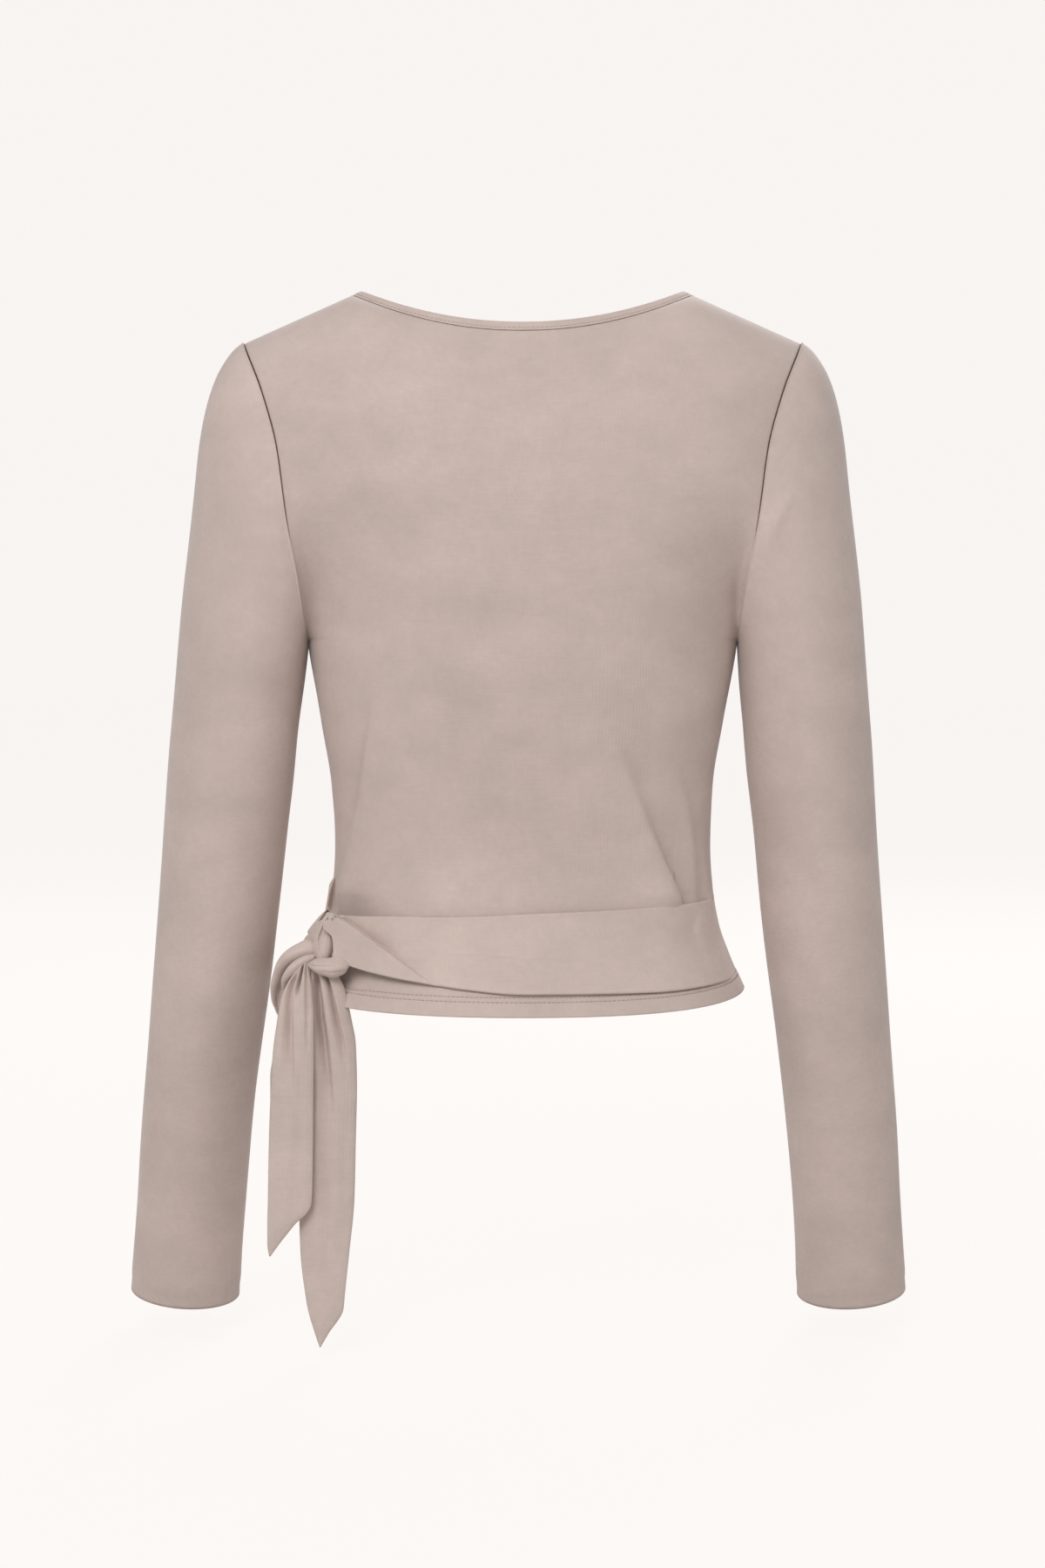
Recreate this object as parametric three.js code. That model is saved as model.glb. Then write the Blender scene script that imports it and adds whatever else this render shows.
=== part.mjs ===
// Wrap cardigan in fine jersey, filled out as if worn. Millimetres, +Z up.
// The origin lies between the two neck-shoulder points, where the wearer's shoulders hold the garment.
// The wearer's back faces -Y and the front +Y, so the wearer's left is at -X.

import * as THREE from "three";

// ---- Driving dimensions ----
const CLOTH = 1.2; // wall of one layer of jersey
const SEAM_GAP = 0.3; // between two pieces at a seam
const LAYER_STEP = 2.8; // from the under front out to the outer front
const SLEEVE_GAP = 0.48; // from the armhole's edge out to the sleeve
const TIE_WALL = 2.2; // the tie is a flat tube, two layers thick
const TIE_LIFT = 1.6; // air between the back and the tie that lies on it
const BINDING = {
  width: 7,
  wall: 1.2,
  proud: 0.4, // how far its outer face stands above the cloth
  hollow: 0.6, // its middle dips this much at most, times a quarter
  lean: { middle: 58, corner: 24 }, // degrees up from level, at the middle of the back neck and at its corners
  cornerRoom: 0.8, // extra gap below it at the corners, where the cloth bends most
  slant: 1.16, // level millimetres for each millimetre square to a front's slanting edge
  lowestRow: 0.33,
};

const TIP = { x: 187, z: -35 }; // shoulder tip, at the top of the armhole
const UNDERARM = { x: 145.4, z: -234 };
const HEM_SIDE_Z = -468;
const HEM_DROP = 12; // the hem's middle hangs this far below its sides
const NECK = { x: 114.3, z: -3, backDepth: 62, scoop: 26.7 };
const ARMHOLE_DEPTH = { back: 64, front: 60 }; // half the armhole's width, front to back
const NECK_CURVE = 2.1; // power of the scoop's curve: 2 would be a parabola
const SIDE_CURVE = 0.85; // power that rounds a section into its side seams, 1 being an oval
const TOP_CURVE = 2.4; // power of the flatter curves across the shoulders and along the hem
const NECK_FACETS = 6; // facets from the middle of the neck to its corner
const SHOULDER_FACETS = 5; // facets along one shoulder
const FRONT_FACETS = 16; // facets across a front
const ARMHOLE_FACETS = 10; // facets up one side of the armhole
const SIDE_ROWS = [0, 0.03, 0.13, 0.235, 0.285, 0.34, 0.42, 0.55, 0.7, 0.85]; // hem to underarm
const SLIT = { top: -401, bottom: -467, gap: 9, square: 0.25 }; // opening in the right side seam for the tie
const ARMHOLE_BOW = [0.92, 0.74, 0.54, 0.36, 0.2, 0.08]; // share of the armhole's bow in a sleeve's first rings
const SEAM_LINE = 0.999; // a line further across than this is the side seam itself
const FOLD_FADE = 0.12; // a fold dies out below its end over this share of its length

const SHADES = { body: 0xc6b5ae, sleeve: 0xc3b3ac, tie: 0xc9b8b1 };

// ---- Sections of the body, one row for each height ----
const BODY = [
  { z: -468, halfWidth: 149.5, back: 93, front: 92 },
  { z: -450, halfWidth: 141.5, back: 87, front: 90 },
  { z: -426, halfWidth: 133, back: 78, front: 87 },
  { z: -400, halfWidth: 128.6, back: 72, front: 85 },
  { z: -373, halfWidth: 127, back: 69, front: 84 },
  { z: -332, halfWidth: 128.8, back: 75, front: 91 },
  { z: -290, halfWidth: 135.5, back: 83, front: 101 },
  { z: -234, halfWidth: 145.4, back: 90, front: 108 },
  { z: -190, halfWidth: 149.5, back: 92, front: 105 },
  { z: -150, halfWidth: 156, back: 91, front: 95 },
  { z: -106, halfWidth: 162, back: 86, front: 80 },
  { z: -69, halfWidth: 172.5, back: 79, front: 66 },
  { z: -35, halfWidth: 187, back: 70, front: 52 },
];

// ---- Sections of a sleeve: outer and inner points, half depth, and how far forward the arm hangs ----
const SLEEVE = [
  { outerX: 193.5, outerZ: -40, innerX: 145.9, innerZ: -236, depth: 64, forward: 0 },
  { outerX: 203.5, outerZ: -55, innerX: 146.2, innerZ: -239, depth: 63.5, forward: 0 },
  { outerX: 210.5, outerZ: -75, innerX: 146.5, innerZ: -243, depth: 62, forward: 0 },
  { outerX: 215.5, outerZ: -100, innerX: 146.9, innerZ: -248, depth: 60, forward: 0 },
  { outerX: 219.5, outerZ: -132, innerX: 147.4, innerZ: -254, depth: 57.5, forward: 0 },
  { outerX: 223.5, outerZ: -165, innerX: 148.1, innerZ: -262, depth: 54.5, forward: 0.3 },
  { outerX: 228, outerZ: -205, innerX: 149.4, innerZ: -274, depth: 51, forward: 0.6 },
  { outerX: 232, outerZ: -248, innerX: 151.5, innerZ: -292, depth: 48, forward: 1.2 },
  { outerX: 236, outerZ: -297, innerX: 154.5, innerZ: -324, depth: 46, forward: 2.5 },
  { outerX: 239.5, outerZ: -347, innerX: 159, innerZ: -361, depth: 44, forward: 5 },
  { outerX: 247.5, outerZ: -446, innerX: 169.8, innerZ: -453, depth: 40, forward: 13.5 },
  { outerX: 252.5, outerZ: -500, innerX: 177, innerZ: -506, depth: 38, forward: 21 },
  { outerX: 257.5, outerZ: -556, innerX: 184.2, innerZ: -562, depth: 36, forward: 30 },
  { outerX: 266.3, outerZ: -655, innerX: 193.6, innerZ: -660, depth: 32.5, forward: 49 },
  { outerX: 269.3, outerZ: -685, innerX: 195.4, innerZ: -690, depth: 32, forward: 56 },
];
const SLEEVE_LEAN = { left: 2.8, right: -2.8 }; // the cuffs' sideways difference, none at the armhole

// ---- Neck edge of a front, from the shoulder across to the far side seam ----
// "row" is 0 at the hem, 1 at the underarm and 2 at the shoulder; "across" is 1 at the panel's own side.
const NECK_EDGE = [
  { row: 0.285, across: -0.985 },
  { row: 0.34, across: -0.81 },
  { row: 0.42, across: -0.62 },
  { row: 0.55, across: -0.42 },
  { row: 1.0, across: -0.035 },
  { row: 1.5, across: 0.3 },
  { row: 1.8, across: 0.47 },
  { row: 2.0, across: NECK.x / TIP.x },
];

// ---- Largest folds of the back, from where each starts to where the tie holds it ----
const BACK_FOLDS = [
  { topX: 60, topZ: -300, endX: 105, endZ: -410, height: 4, halfWidth: 16 },
  { topX: -97, topZ: -262, endX: -124, endZ: -416, height: 3, halfWidth: 14 },
];

// ---- The tie across the back: heights of its edges and how far its lower fold stands up ----
const TIE_BACK = [
  { across: -0.74, top: -418, bottom: -443, fold: 4 },
  { across: -0.66, top: -416.5, bottom: -447.5, fold: 3.4 },
  { across: -0.5, top: -416.5, bottom: -454, fold: 2.6 },
  { across: -0.28, top: -416.5, bottom: -460, fold: 1.0 },
  { across: 0.0, top: -413.5, bottom: -466, fold: 0 },
  { across: 0.4, top: -411, bottom: -466, fold: 0 },
  { across: 0.75, top: -408.5, bottom: -462.5, fold: 0 },
  { across: 1.0, top: -407, bottom: -458, fold: 0 },
];

// Where the tie turns in through the slit: how far out of the seam, and how far forward.
const SLIT_TIE = {
  top: -411,
  bottom: -455,
  parts: [
    { y: -6.5, lift: 1.9 },
    { y: -3, lift: 0.5 },
    { y: 3.2, lift: -3.8 },
  ],
};

// ---- Ribbons of the knot and the ends: middle line, half width, crown, and the way the face looks ----
const FRONT_TIE = [
  { x: -139.6, y: 3, z: -433, half: 27, crown: 0.5, turn: -88, lean: 17 },
  { x: -143.5, y: -10, z: -432, half: 18, crown: 1.5, turn: -75, lean: 14 },
  { x: -144.5, y: -26, z: -431, half: 11, crown: 2.5, turn: -52, lean: 8 },
  { x: -141, y: -41, z: -430, half: 7.5, crown: 2.5, turn: -26, lean: 0 },
  { x: -136.5, y: -52, z: -432, half: 6, crown: 1.5, turn: -14, lean: 0 },
  { x: -131.5, y: -60.2, z: -434, half: 4.5, crown: 1, turn: 0, lean: 0 },
];
const WRAP_UP = [
  { x: -126, y: -51.5, z: -419, half: 3.5, crown: 1.2, turn: 0 },
  { x: -129.5, y: -57, z: -423.5, half: 6.5, crown: 3, turn: 0 },
  { x: -132, y: -61, z: -430, half: 8, crown: 3.5, turn: 0 },
  { x: -132.5, y: -62.5, z: -437, half: 7, crown: 3, turn: 0 },
  { x: -132, y: -63, z: -444, half: 4.5, crown: 2, turn: 0 },
];
const WRAP_OVER = [
  { x: -142.2, y: -62.7, z: -447.6, half: 2.5, crown: 1, turn: 0 },
  { x: -138, y: -65.5, z: -450, half: 5, crown: 2.5, turn: 0 },
  { x: -131, y: -67.2, z: -451, half: 6.6, crown: 3, turn: 0 },
  { x: -124, y: -66, z: -451, half: 6.8, crown: 3, turn: 10 },
  { x: -118.5, y: -60.5, z: -450, half: 5, crown: 2, turn: 35 },
];
const LOOP = [
  { x: -137.5, y: -56.5, z: -439.5, half: 3.2, crown: 1, turn: -8 },
  { x: -147, y: -54, z: -441, half: 6, crown: 2, turn: -12 },
  { x: -158, y: -50, z: -448, half: 6.5, crown: 2.5, turn: -18 },
  { x: -164.5, y: -47, z: -462, half: 6, crown: 2.5, turn: -24 },
  { x: -165.5, y: -45.5, z: -478, half: 5.5, crown: 2, turn: -20 },
  { x: -163.5, y: -46, z: -500, half: 6.5, crown: 1.5, turn: -10 },
  { x: -163, y: -48, z: -525, half: 7.5, crown: 1.2, turn: -5 },
  { x: -164, y: -49, z: -548, half: 5, crown: 0.8, turn: 0 },
];
const END_SHORT = [
  { x: -145.2, y: -57.6, z: -446, half: 3, crown: 1, turn: -6, pleat: 0 },
  { x: -149, y: -60.6, z: -457, half: 8.5, crown: 3, turn: -8, pleat: 2 },
  { x: -151, y: -65, z: -470, half: 12, crown: 3.5, turn: -6, pleat: 3 },
  { x: -153.5, y: -68, z: -495, half: 14.3, crown: 3, turn: -3, pleat: 2.6 },
  { x: -154.5, y: -68, z: -530, half: 15.3, crown: 2.6, turn: 0, pleat: 2.2 },
  { x: -155, y: -68, z: -570, half: 15.3, crown: 2.4, turn: 0, pleat: 1.8 },
  { x: -155.3, y: -68, z: -603, half: 15.5, crown: 2.2, turn: 0, pleat: 1.4 },
  { x: -162, y: -68, z: -624, half: 8.8, crown: 1, turn: 0, pleat: 0.6 },
  { x: -168.5, y: -68, z: -641, half: 2, crown: 0.3, turn: 0, pleat: 0 },
];
const END_LONG = [
  { x: -133, y: -61.8, z: -455.6, half: 5, crown: 1, turn: -12, pleat: 0.6 },
  { x: -129, y: -62.6, z: -467, half: 10.5, crown: 2.5, turn: -16, pleat: 1.8 },
  { x: -127, y: -63, z: -490, half: 14, crown: 2.8, turn: -10, pleat: 2 },
  { x: -127.5, y: -61, z: -520, half: 16.8, crown: 2.6, turn: -6, pleat: 2.2 },
  { x: -129.5, y: -59, z: -560, half: 18.5, crown: 2.4, turn: 0, pleat: 2.4 },
  { x: -130.5, y: -58, z: -605, half: 18.6, crown: 2.2, turn: 0, pleat: 2 },
  { x: -132, y: -58, z: -645, half: 16, crown: 1.8, turn: 0, pleat: 1.4 },
  { x: -133.5, y: -58, z: -680, half: 11.5, crown: 1, turn: 0, pleat: 0.6 },
  { x: -136, y: -58, z: -704, half: 2, crown: 0.3, turn: 0, pleat: 0 },
];

// ---- Curves through the tables ----

// Smooth curve through the rows: cubic steps with slopes held between neighbours, so that it never overshoots.
function curve(rows, key, column) {
  const xs = rows.map((row) => row[key]);
  const ys = rows.map((row) => row[column]);
  const secants = xs.slice(1).map((x, i) => (ys[i + 1] - ys[i]) / (x - xs[i]));
  const slopes = xs.map((_, i) => {
    const before = secants[Math.max(i - 1, 0)];
    const after = secants[Math.min(i, secants.length - 1)];
    return before * after <= 0 ? 0 : (2 * before * after) / (before + after);
  });
  return (x) => {
    const at = THREE.MathUtils.clamp(x, xs[0], xs[xs.length - 1]);
    let i = 0;
    while (i < xs.length - 2 && at > xs[i + 1]) i += 1;
    const step = xs[i + 1] - xs[i];
    const t = (at - xs[i]) / step;
    const rise = ys[i + 1] - ys[i];
    const lead = step * slopes[i];
    const trail = step * slopes[i + 1];
    return ys[i] + t * (lead + t * (3 * rise - 2 * lead - trail + t * (lead + trail - 2 * rise)));
  };
}

const halfWidthAt = curve(BODY, "z", "halfWidth");
const depthAt = { back: curve(BODY, "z", "back"), front: curve(BODY, "z", "front") };
const edgeAcross = curve(NECK_EDGE, "row", "across");
const smooth = (low, high, x) => THREE.MathUtils.smoothstep(x, low, high);

// ---- The body's form ----

// Height of the side edge: straight up to the underarm, then round the armhole's oval.
function edgeHeight(row) {
  if (row <= 1) return HEM_SIDE_Z + (UNDERARM.z - HEM_SIDE_Z) * row;
  const middle = (TIP.z + UNDERARM.z) / 2;
  return middle - ((TIP.z - UNDERARM.z) / 2) * Math.cos(Math.PI * (row - 1));
}

// Point on the body. "across" runs from -1 at the left side to 1 at the right, "row" from 0 at the hem to 2.
function bodyPoint(side, across, row) {
  const sideZ = edgeHeight(row);
  const u = Math.abs(across);
  const upper = smooth(0.8, 2, row);
  const angle = (u * Math.PI) / 2;
  const halfWidth = halfWidthAt(sideZ);
  const x = halfWidth * ((1 - upper) * Math.sin(angle) + upper * u);

  const slope = Math.min((1 - u) / (1 - neckU), 1);
  const scoop = side === "back" && u < neckU ? NECK.scoop * (1 - (u / neckU) ** NECK_CURVE) : 0;
  const rise = (NECK.z - TIP.z) * slope - scoop;
  const z = sideZ + rise * upper - HEM_DROP * (1 - u ** TOP_CURVE) * (1 - smooth(0, 1, row));

  const round = Math.PI * Math.max(row - 1, 0);
  const edgeDepth = ARMHOLE_DEPTH[side] * (row > 1.5 ? 1 : Math.sin(round));
  const fullness = (1 - upper) * Math.cos(angle) ** SIDE_CURVE + upper * (1 - u ** TOP_CURVE);
  const middleDepth = depthAt[side](sideZ);
  let depth = edgeDepth + (middleDepth - edgeDepth) * fullness;
  if (row > 1.5) {
    const neckDepth = side === "back" && u < neckU ? NECK.backDepth * Math.sqrt(1 - (u / neckU) ** 2) : 0;
    depth = THREE.MathUtils.lerp(neckDepth, depth, Math.sin(round));
  }
  const away = depth + SEAM_GAP / 2;
  return new THREE.Vector3(Math.sign(across) * x, side === "back" ? -away : away, z);
}

// Way out of the cloth at a point of a surface, from its two directions.
function outward(surface, a, b, flip) {
  const d = 1e-3;
  const alongA = surface(a + d, b).sub(surface(a - d, b));
  const alongB = surface(a, b + d).sub(surface(a, b - d));
  return alongA.cross(alongB).normalize().multiplyScalar(flip);
}

// The same body point, moved out along the cloth's own direction.
function liftedBody(side, across, row, lift) {
  const inside = THREE.MathUtils.clamp(row, 0.002, 1.97);
  const reach = THREE.MathUtils.clamp(across, -0.985, 0.985);
  const out = outward((a, b) => bodyPoint(side, a, b), reach, inside, side === "back" ? 1 : -1);
  const point = bodyPoint(side, across, row).addScaledVector(out, lift);
  const seam = SEAM_GAP / 2;
  point.y = side === "back" ? Math.min(point.y, -seam) : Math.max(point.y, seam);
  return point;
}

// Row of the body at a height, found by halving.
function rowAt(side, across, z) {
  let low = 0;
  let high = 1;
  for (let i = 0; i < 30; i += 1) {
    const middle = (low + high) / 2;
    if (bodyPoint(side, across, middle).z < z) low = middle;
    else high = middle;
  }
  return low;
}

// ---- Closed walls from a grid ----

// Joins an outer and an inner grid of points into one closed solid. A round grid closes on itself across.
function wallMesh(name, colour, outer, inner, round = false) {
  const rows = outer.length;
  const columns = outer[0].length;
  const positions = [];
  for (const grid of [outer, inner]) {
    for (const line of grid) {
      for (const point of line) positions.push(point.x, point.y, point.z);
    }
  }
  const index = [];
  const at = (layer, r, c) => (layer * rows + r) * columns + (c % columns);
  const apart = (a, b) => Math.hypot(...[0, 1, 2].map((k) => positions[3 * a + k] - positions[3 * b + k]));
  // Each four-sided facet is cut along its shorter diagonal, which keeps it closest to the curve.
  const quad = (a, b, c, d) => {
    if (apart(a, c) <= apart(b, d)) index.push(a, b, c, a, c, d);
    else index.push(b, c, d, b, d, a);
  };
  const lastColumn = round ? columns : columns - 1;
  for (let r = 0; r < rows - 1; r += 1) {
    for (let c = 0; c < lastColumn; c += 1) {
      quad(at(0, r, c), at(0, r, c + 1), at(0, r + 1, c + 1), at(0, r + 1, c));
      quad(at(1, r, c), at(1, r + 1, c), at(1, r + 1, c + 1), at(1, r, c + 1));
    }
    if (!round) {
      quad(at(0, r, 0), at(0, r + 1, 0), at(1, r + 1, 0), at(1, r, 0));
      quad(at(0, r, columns - 1), at(1, r, columns - 1), at(1, r + 1, columns - 1), at(0, r + 1, columns - 1));
    }
  }
  for (let c = 0; c < lastColumn; c += 1) {
    quad(at(0, 0, c), at(1, 0, c), at(1, 0, c + 1), at(0, 0, c + 1));
    quad(at(0, rows - 1, c), at(0, rows - 1, c + 1), at(1, rows - 1, c + 1), at(1, rows - 1, c));
  }
  const geometry = new THREE.BufferGeometry();
  geometry.setAttribute("position", new THREE.Float32BufferAttribute(positions, 3));
  geometry.setIndex(volumeOf(positions, index) > 0 ? index : index.reverse());
  geometry.computeVertexNormals();
  const material = new THREE.MeshStandardMaterial({ color: colour, roughness: 0.85, metalness: 0 });
  const mesh = new THREE.Mesh(geometry, material);
  mesh.name = name;
  return mesh;
}

// Six times the solid's signed volume: positive where the faces point out.
function volumeOf(positions, index) {
  const point = (i) => new THREE.Vector3().fromArray(positions, 3 * i);
  let total = 0;
  for (let i = 0; i < index.length; i += 3) {
    total += point(index[i]).dot(point(index[i + 1]).cross(point(index[i + 2])));
  }
  return total;
}

const span = (count, from, to) => Array.from({ length: count + 1 }, (_, i) => from + ((to - from) * i) / count);
const armholeSteps = span(ARMHOLE_FACETS, 1, 2);
const bodyRows = [...SIDE_ROWS, ...armholeSteps];

// Lines down the back: close together at the neck's corners, with one line at each corner itself.
const neckU = NECK.x / TIP.x;
const neckLines = span(2 * NECK_FACETS, -1, 1).map((t) => neckU * Math.sin((t * Math.PI) / 2));
const shoulderLines = span(SHOULDER_FACETS, neckU, 1).slice(1);
const backLines = [...shoulderLines.map((u) => -u).reverse(), ...neckLines, ...shoulderLines];

// ---- Panels ----

// Height of a fold of the back: a soft ridge along its line, from nothing at its top to full at the tie.
function foldLift(point) {
  return BACK_FOLDS.reduce((sum, fold) => {
    const down = THREE.MathUtils.clamp((point.z - fold.topZ) / (fold.endZ - fold.topZ), 0, 1 + FOLD_FADE);
    const line = THREE.MathUtils.lerp(fold.topX, fold.endX, Math.min(down, 1));
    const beside = Math.max(1 - Math.abs(point.x - line) / fold.halfWidth, 0);
    const fade = down < 1 ? down : Math.max(1 - (down - 1) / FOLD_FADE, 0);
    return sum + fold.height * fade * beside * beside * (3 - 2 * beside);
  }, 0);
}

// How far a panel's edge stands back from the right side seam where the slit for the tie opens.
function slitBack(z) {
  const t = (z - SLIT.bottom) / (SLIT.top - SLIT.bottom);
  return t > 0 && t < 1 ? (SLIT.gap / 2) * Math.sin(Math.PI * t) ** SLIT.square : 0;
}

function backPanel() {
  const grid = (lift) =>
    bodyRows.map((row) =>
      backLines.map((across) => {
        const flat = bodyPoint("back", across, row);
        const point = liftedBody("back", across, row, lift + foldLift(flat));
        if (across > SEAM_LINE) point.y -= slitBack(point.z);
        return point;
      }),
    );
  return wallMesh("back", SHADES.body, grid(0), grid(-CLOTH));
}

// Height of a front over the body's form: the outer front passes over the under front everywhere.
function frontLift(own, isOuter) {
  const middle = smooth(-0.9, 0.9, isOuter ? own : -own);
  return isOuter ? LAYER_STEP * (1 - middle) : -LAYER_STEP * middle;
}

// A front runs from its own side seam and armhole to its neck edge. "own" is 1 at its side seam.
function frontPoint(sign, own, row, lift, isOuter) {
  return liftedBody("front", sign * own, row, frontLift(own, isOuter) + lift);
}

// Share of a front's width that one millimetre across it takes up.
function perMillimetre(row, own) {
  const step = 0.01;
  const reach = Math.max(own, -0.97);
  return step / bodyPoint("front", reach + step, row).distanceTo(bodyPoint("front", reach, row));
}

function frontPanel(name, sign, isOuter) {
  const grid = (lift) =>
    bodyRows.map((row) => {
      const edge = edgeAcross(row);
      const inset = row > NECK_EDGE[0].row ? SEAM_GAP * perMillimetre(row, edge) : 0;
      return span(FRONT_FACETS, edge + inset, 1).map((own) => {
        const point = frontPoint(sign, own, row, lift, isOuter);
        if (isOuter && own > SEAM_LINE) point.y += slitBack(point.z);
        return point;
      });
    });
  return wallMesh(name, SHADES.body, grid(0), grid(-CLOTH));
}

// ---- Sleeves ----

// Armhole loop: the panels' own side edges, back from top to underarm, then front back up.
function armholeLoop(sign, outAt) {
  const down = [...armholeSteps].reverse();
  const back = down.map((row) => [bodyPoint("back", sign, row), "back", row]);
  const front = [...down].reverse().map((row) => [bodyPoint("front", sign, row), "front", row]);
  return [...back.slice(0, -1), ...front.slice(0, -1)].map(([point, side, row], i) => {
    const top = i === 0;
    const bottom = side === "front" && row === 1;
    const y = top || bottom ? 0 : point.y;
    return new THREE.Vector3(sign * (Math.abs(point.x) + outAt), y, point.z);
  });
}

function sleeve(name, side, sign) {
  const around = ARMHOLE_FACETS * 2;
  const cuffDrop = SLEEVE[SLEEVE.length - 1].outerZ - SLEEVE[0].outerZ;
  const rings = SLEEVE.map((section, i) => {
    const next = SLEEVE[Math.min(i + 1, SLEEVE.length - 1)];
    const last = SLEEVE[Math.max(i - 1, 0)];
    const tilt = Math.atan2(next.forward - last.forward, last.innerZ - next.innerZ);
    const lean = (SLEEVE_LEAN[side] * (section.outerZ - SLEEVE[0].outerZ)) / cuffDrop;
    const middleX = (section.outerX + section.innerX) / 2 + lean;
    const middleZ = (section.outerZ + section.innerZ) / 2;
    const reachX = (section.outerX - section.innerX) / 2;
    const reachZ = (section.outerZ - section.innerZ) / 2;
    return Array.from({ length: around }, (_, k) => {
      const angle = (2 * Math.PI * k) / around;
      const depth = section.depth * Math.sin(angle);
      return new THREE.Vector3(
        sign * (middleX + reachX * Math.cos(angle)),
        section.forward - depth * Math.cos(tilt),
        middleZ + reachZ * Math.cos(angle) - depth * Math.sin(tilt),
      );
    });
  });
  const loop = armholeLoop(sign, SLEEVE_GAP);
  // The armhole bows towards the body of the straight line from its top to the underarm.
  const bow = loop.map((point, k) => {
    const down = Math.cos((2 * Math.PI * k) / around);
    return Math.abs(point.x) - (TIP.x + UNDERARM.x) / 2 - ((TIP.x - UNDERARM.x) / 2) * down;
  });
  ARMHOLE_BOW.forEach((share, r) => {
    rings[r].forEach((point, k) => {
      point.x += sign * share * bow[k];
    });
  });
  const outer = [loop, ...rings];
  const inner = outer.map((ring, r) =>
    ring.map((point, k) => {
      const alongRing = ring[(k + 1) % around].clone().sub(ring[(k + around - 1) % around]);
      const before = outer[Math.max(r - 1, 0)][k];
      const after = outer[Math.min(r + 1, outer.length - 1)][k];
      const normal = alongRing.cross(after.clone().sub(before)).normalize();
      return point.clone().addScaledVector(normal, -sign * CLOTH);
    }),
  );
  return wallMesh(name, SHADES.sleeve, outer, inner, true);
}

// ---- Neck binding ----

// Back stretch: stands on the back's scooped edge and leans in towards the neck.
function backBinding() {
  const grid = (lift) =>
    neckLines.map((across) => {
      const foot = bodyPoint("back", across, 2);
      const sideways = -NECK.backDepth * (across / neckU);
      const forwards = NECK.x * Math.sqrt(Math.max(1 - (across / neckU) ** 2, 0));
      const cornerRoom = BINDING.cornerRoom * Math.abs(across / neckU) ** 4;
      const toNeck = new THREE.Vector3(sideways, forwards, 0).normalize();
      const corner = Math.abs(across / neckU) ** 3;
      const degrees = THREE.MathUtils.lerp(BINDING.lean.middle, BINDING.lean.corner, corner);
      const lean = THREE.MathUtils.degToRad(degrees);
      const up = new THREE.Vector3(0, 0, Math.sin(lean)).addScaledVector(toNeck, Math.cos(lean));
      const out = new THREE.Vector3(0, 0, Math.cos(lean)).addScaledVector(toNeck, -Math.sin(lean));
      return [0, 0.5, 1].map((w) =>
        foot
          .clone()
          .addScaledVector(up, SEAM_GAP + cornerRoom + w * BINDING.width)
          .addScaledVector(out, lift - BINDING.hollow * w * (1 - w)),
      );
    });
  return wallMesh("neck_binding_back", SHADES.body, grid(BINDING.proud), grid(BINDING.proud - BINDING.wall));
}

// Front stretch: continues a front's neck edge, in the line of the cloth, down to the wrap's end.
function frontBinding(name, sign, isOuter) {
  const rows = bodyRows.filter((row) => row > BINDING.lowestRow);
  const grid = (lift) =>
    rows.map((row) => {
      const edge = edgeAcross(row);
      const away = perMillimetre(row, edge);
      return [0, 0.5, 1].map((w) => {
        const own = edge - (SEAM_GAP + w * BINDING.width * BINDING.slant) * away;
        return frontPoint(sign, own, row, lift, isOuter);
      });
    });
  return wallMesh(name, SHADES.body, grid(BINDING.proud), grid(BINDING.proud - BINDING.wall));
}

// ---- The tie ----

const tieTop = curve(TIE_BACK, "across", "top");
const tieBottom = curve(TIE_BACK, "across", "bottom");
const tieFold = curve(TIE_BACK, "across", "fold");

// Stretch across the back, laid on the back panel. Its lower part folds up over itself near the knot.
// At the right it turns in through the side seam's slit to the end of the under front.
function tieAcrossBack() {
  const first = TIE_BACK[0].across;
  const lines = [first, ...backLines.filter((across) => across > first + 0.03 && across < 0.99)];
  const onBack = (across, w, lift) => {
    const z = THREE.MathUtils.lerp(tieBottom(across), tieTop(across), w);
    const row = rowAt("back", across, z);
    const folded = tieFold(across) * (1 - smooth(0.45, 0.65, w));
    return liftedBody("back", across, row, TIE_LIFT + foldLift(bodyPoint("back", across, row)) + folded + lift);
  };
  const inSlit = (part, w, lift) => {
    const z = THREE.MathUtils.lerp(SLIT_TIE.bottom, SLIT_TIE.top, w);
    const point = liftedBody("back", 1, rowAt("back", 1, z), part.lift + lift);
    point.y = part.y;
    return point;
  };
  const grid = (lift) =>
    span(6, 0, 1).map((w) => [
      ...lines.map((across) => onBack(across, w, lift)),
      ...SLIT_TIE.parts.map((part) => inSlit(part, w, lift)),
    ]);
  return wallMesh("tie_across_back", SHADES.tie, grid(TIE_WALL), grid(0));
}

// A ribbon along its rows: the middle line, a width across it, a crown and soft pleats.
function ribbon(name, rows, across = 6) {
  const line = rows.map((row) => new THREE.Vector3(row.x, row.y, row.z));
  const grid = (lift) =>
    rows.map((row, i) => {
      const along = line[Math.min(i + 1, rows.length - 1)].clone().sub(line[Math.max(i - 1, 0)]).normalize();
      const turn = THREE.MathUtils.degToRad(row.turn);
      const lean = THREE.MathUtils.degToRad(row.lean ?? 0);
      const level = new THREE.Vector3(Math.sin(turn), -Math.cos(turn), 0);
      const face = level.multiplyScalar(Math.cos(lean)).setZ(Math.sin(lean));
      const side = along.clone().cross(face).normalize();
      const out = side.clone().cross(along).normalize();
      return span(across, -1, 1).map((w) => {
        const rise = row.crown * (1 - w * w) + (row.pleat ?? 0) * Math.cos(2.5 * Math.PI * w);
        return line[i]
          .clone()
          .addScaledVector(side, w * row.half)
          .addScaledVector(out, rise + lift);
      });
    });
  return wallMesh(name, SHADES.tie, grid(TIE_WALL / 2), grid(-TIE_WALL / 2));
}

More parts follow.
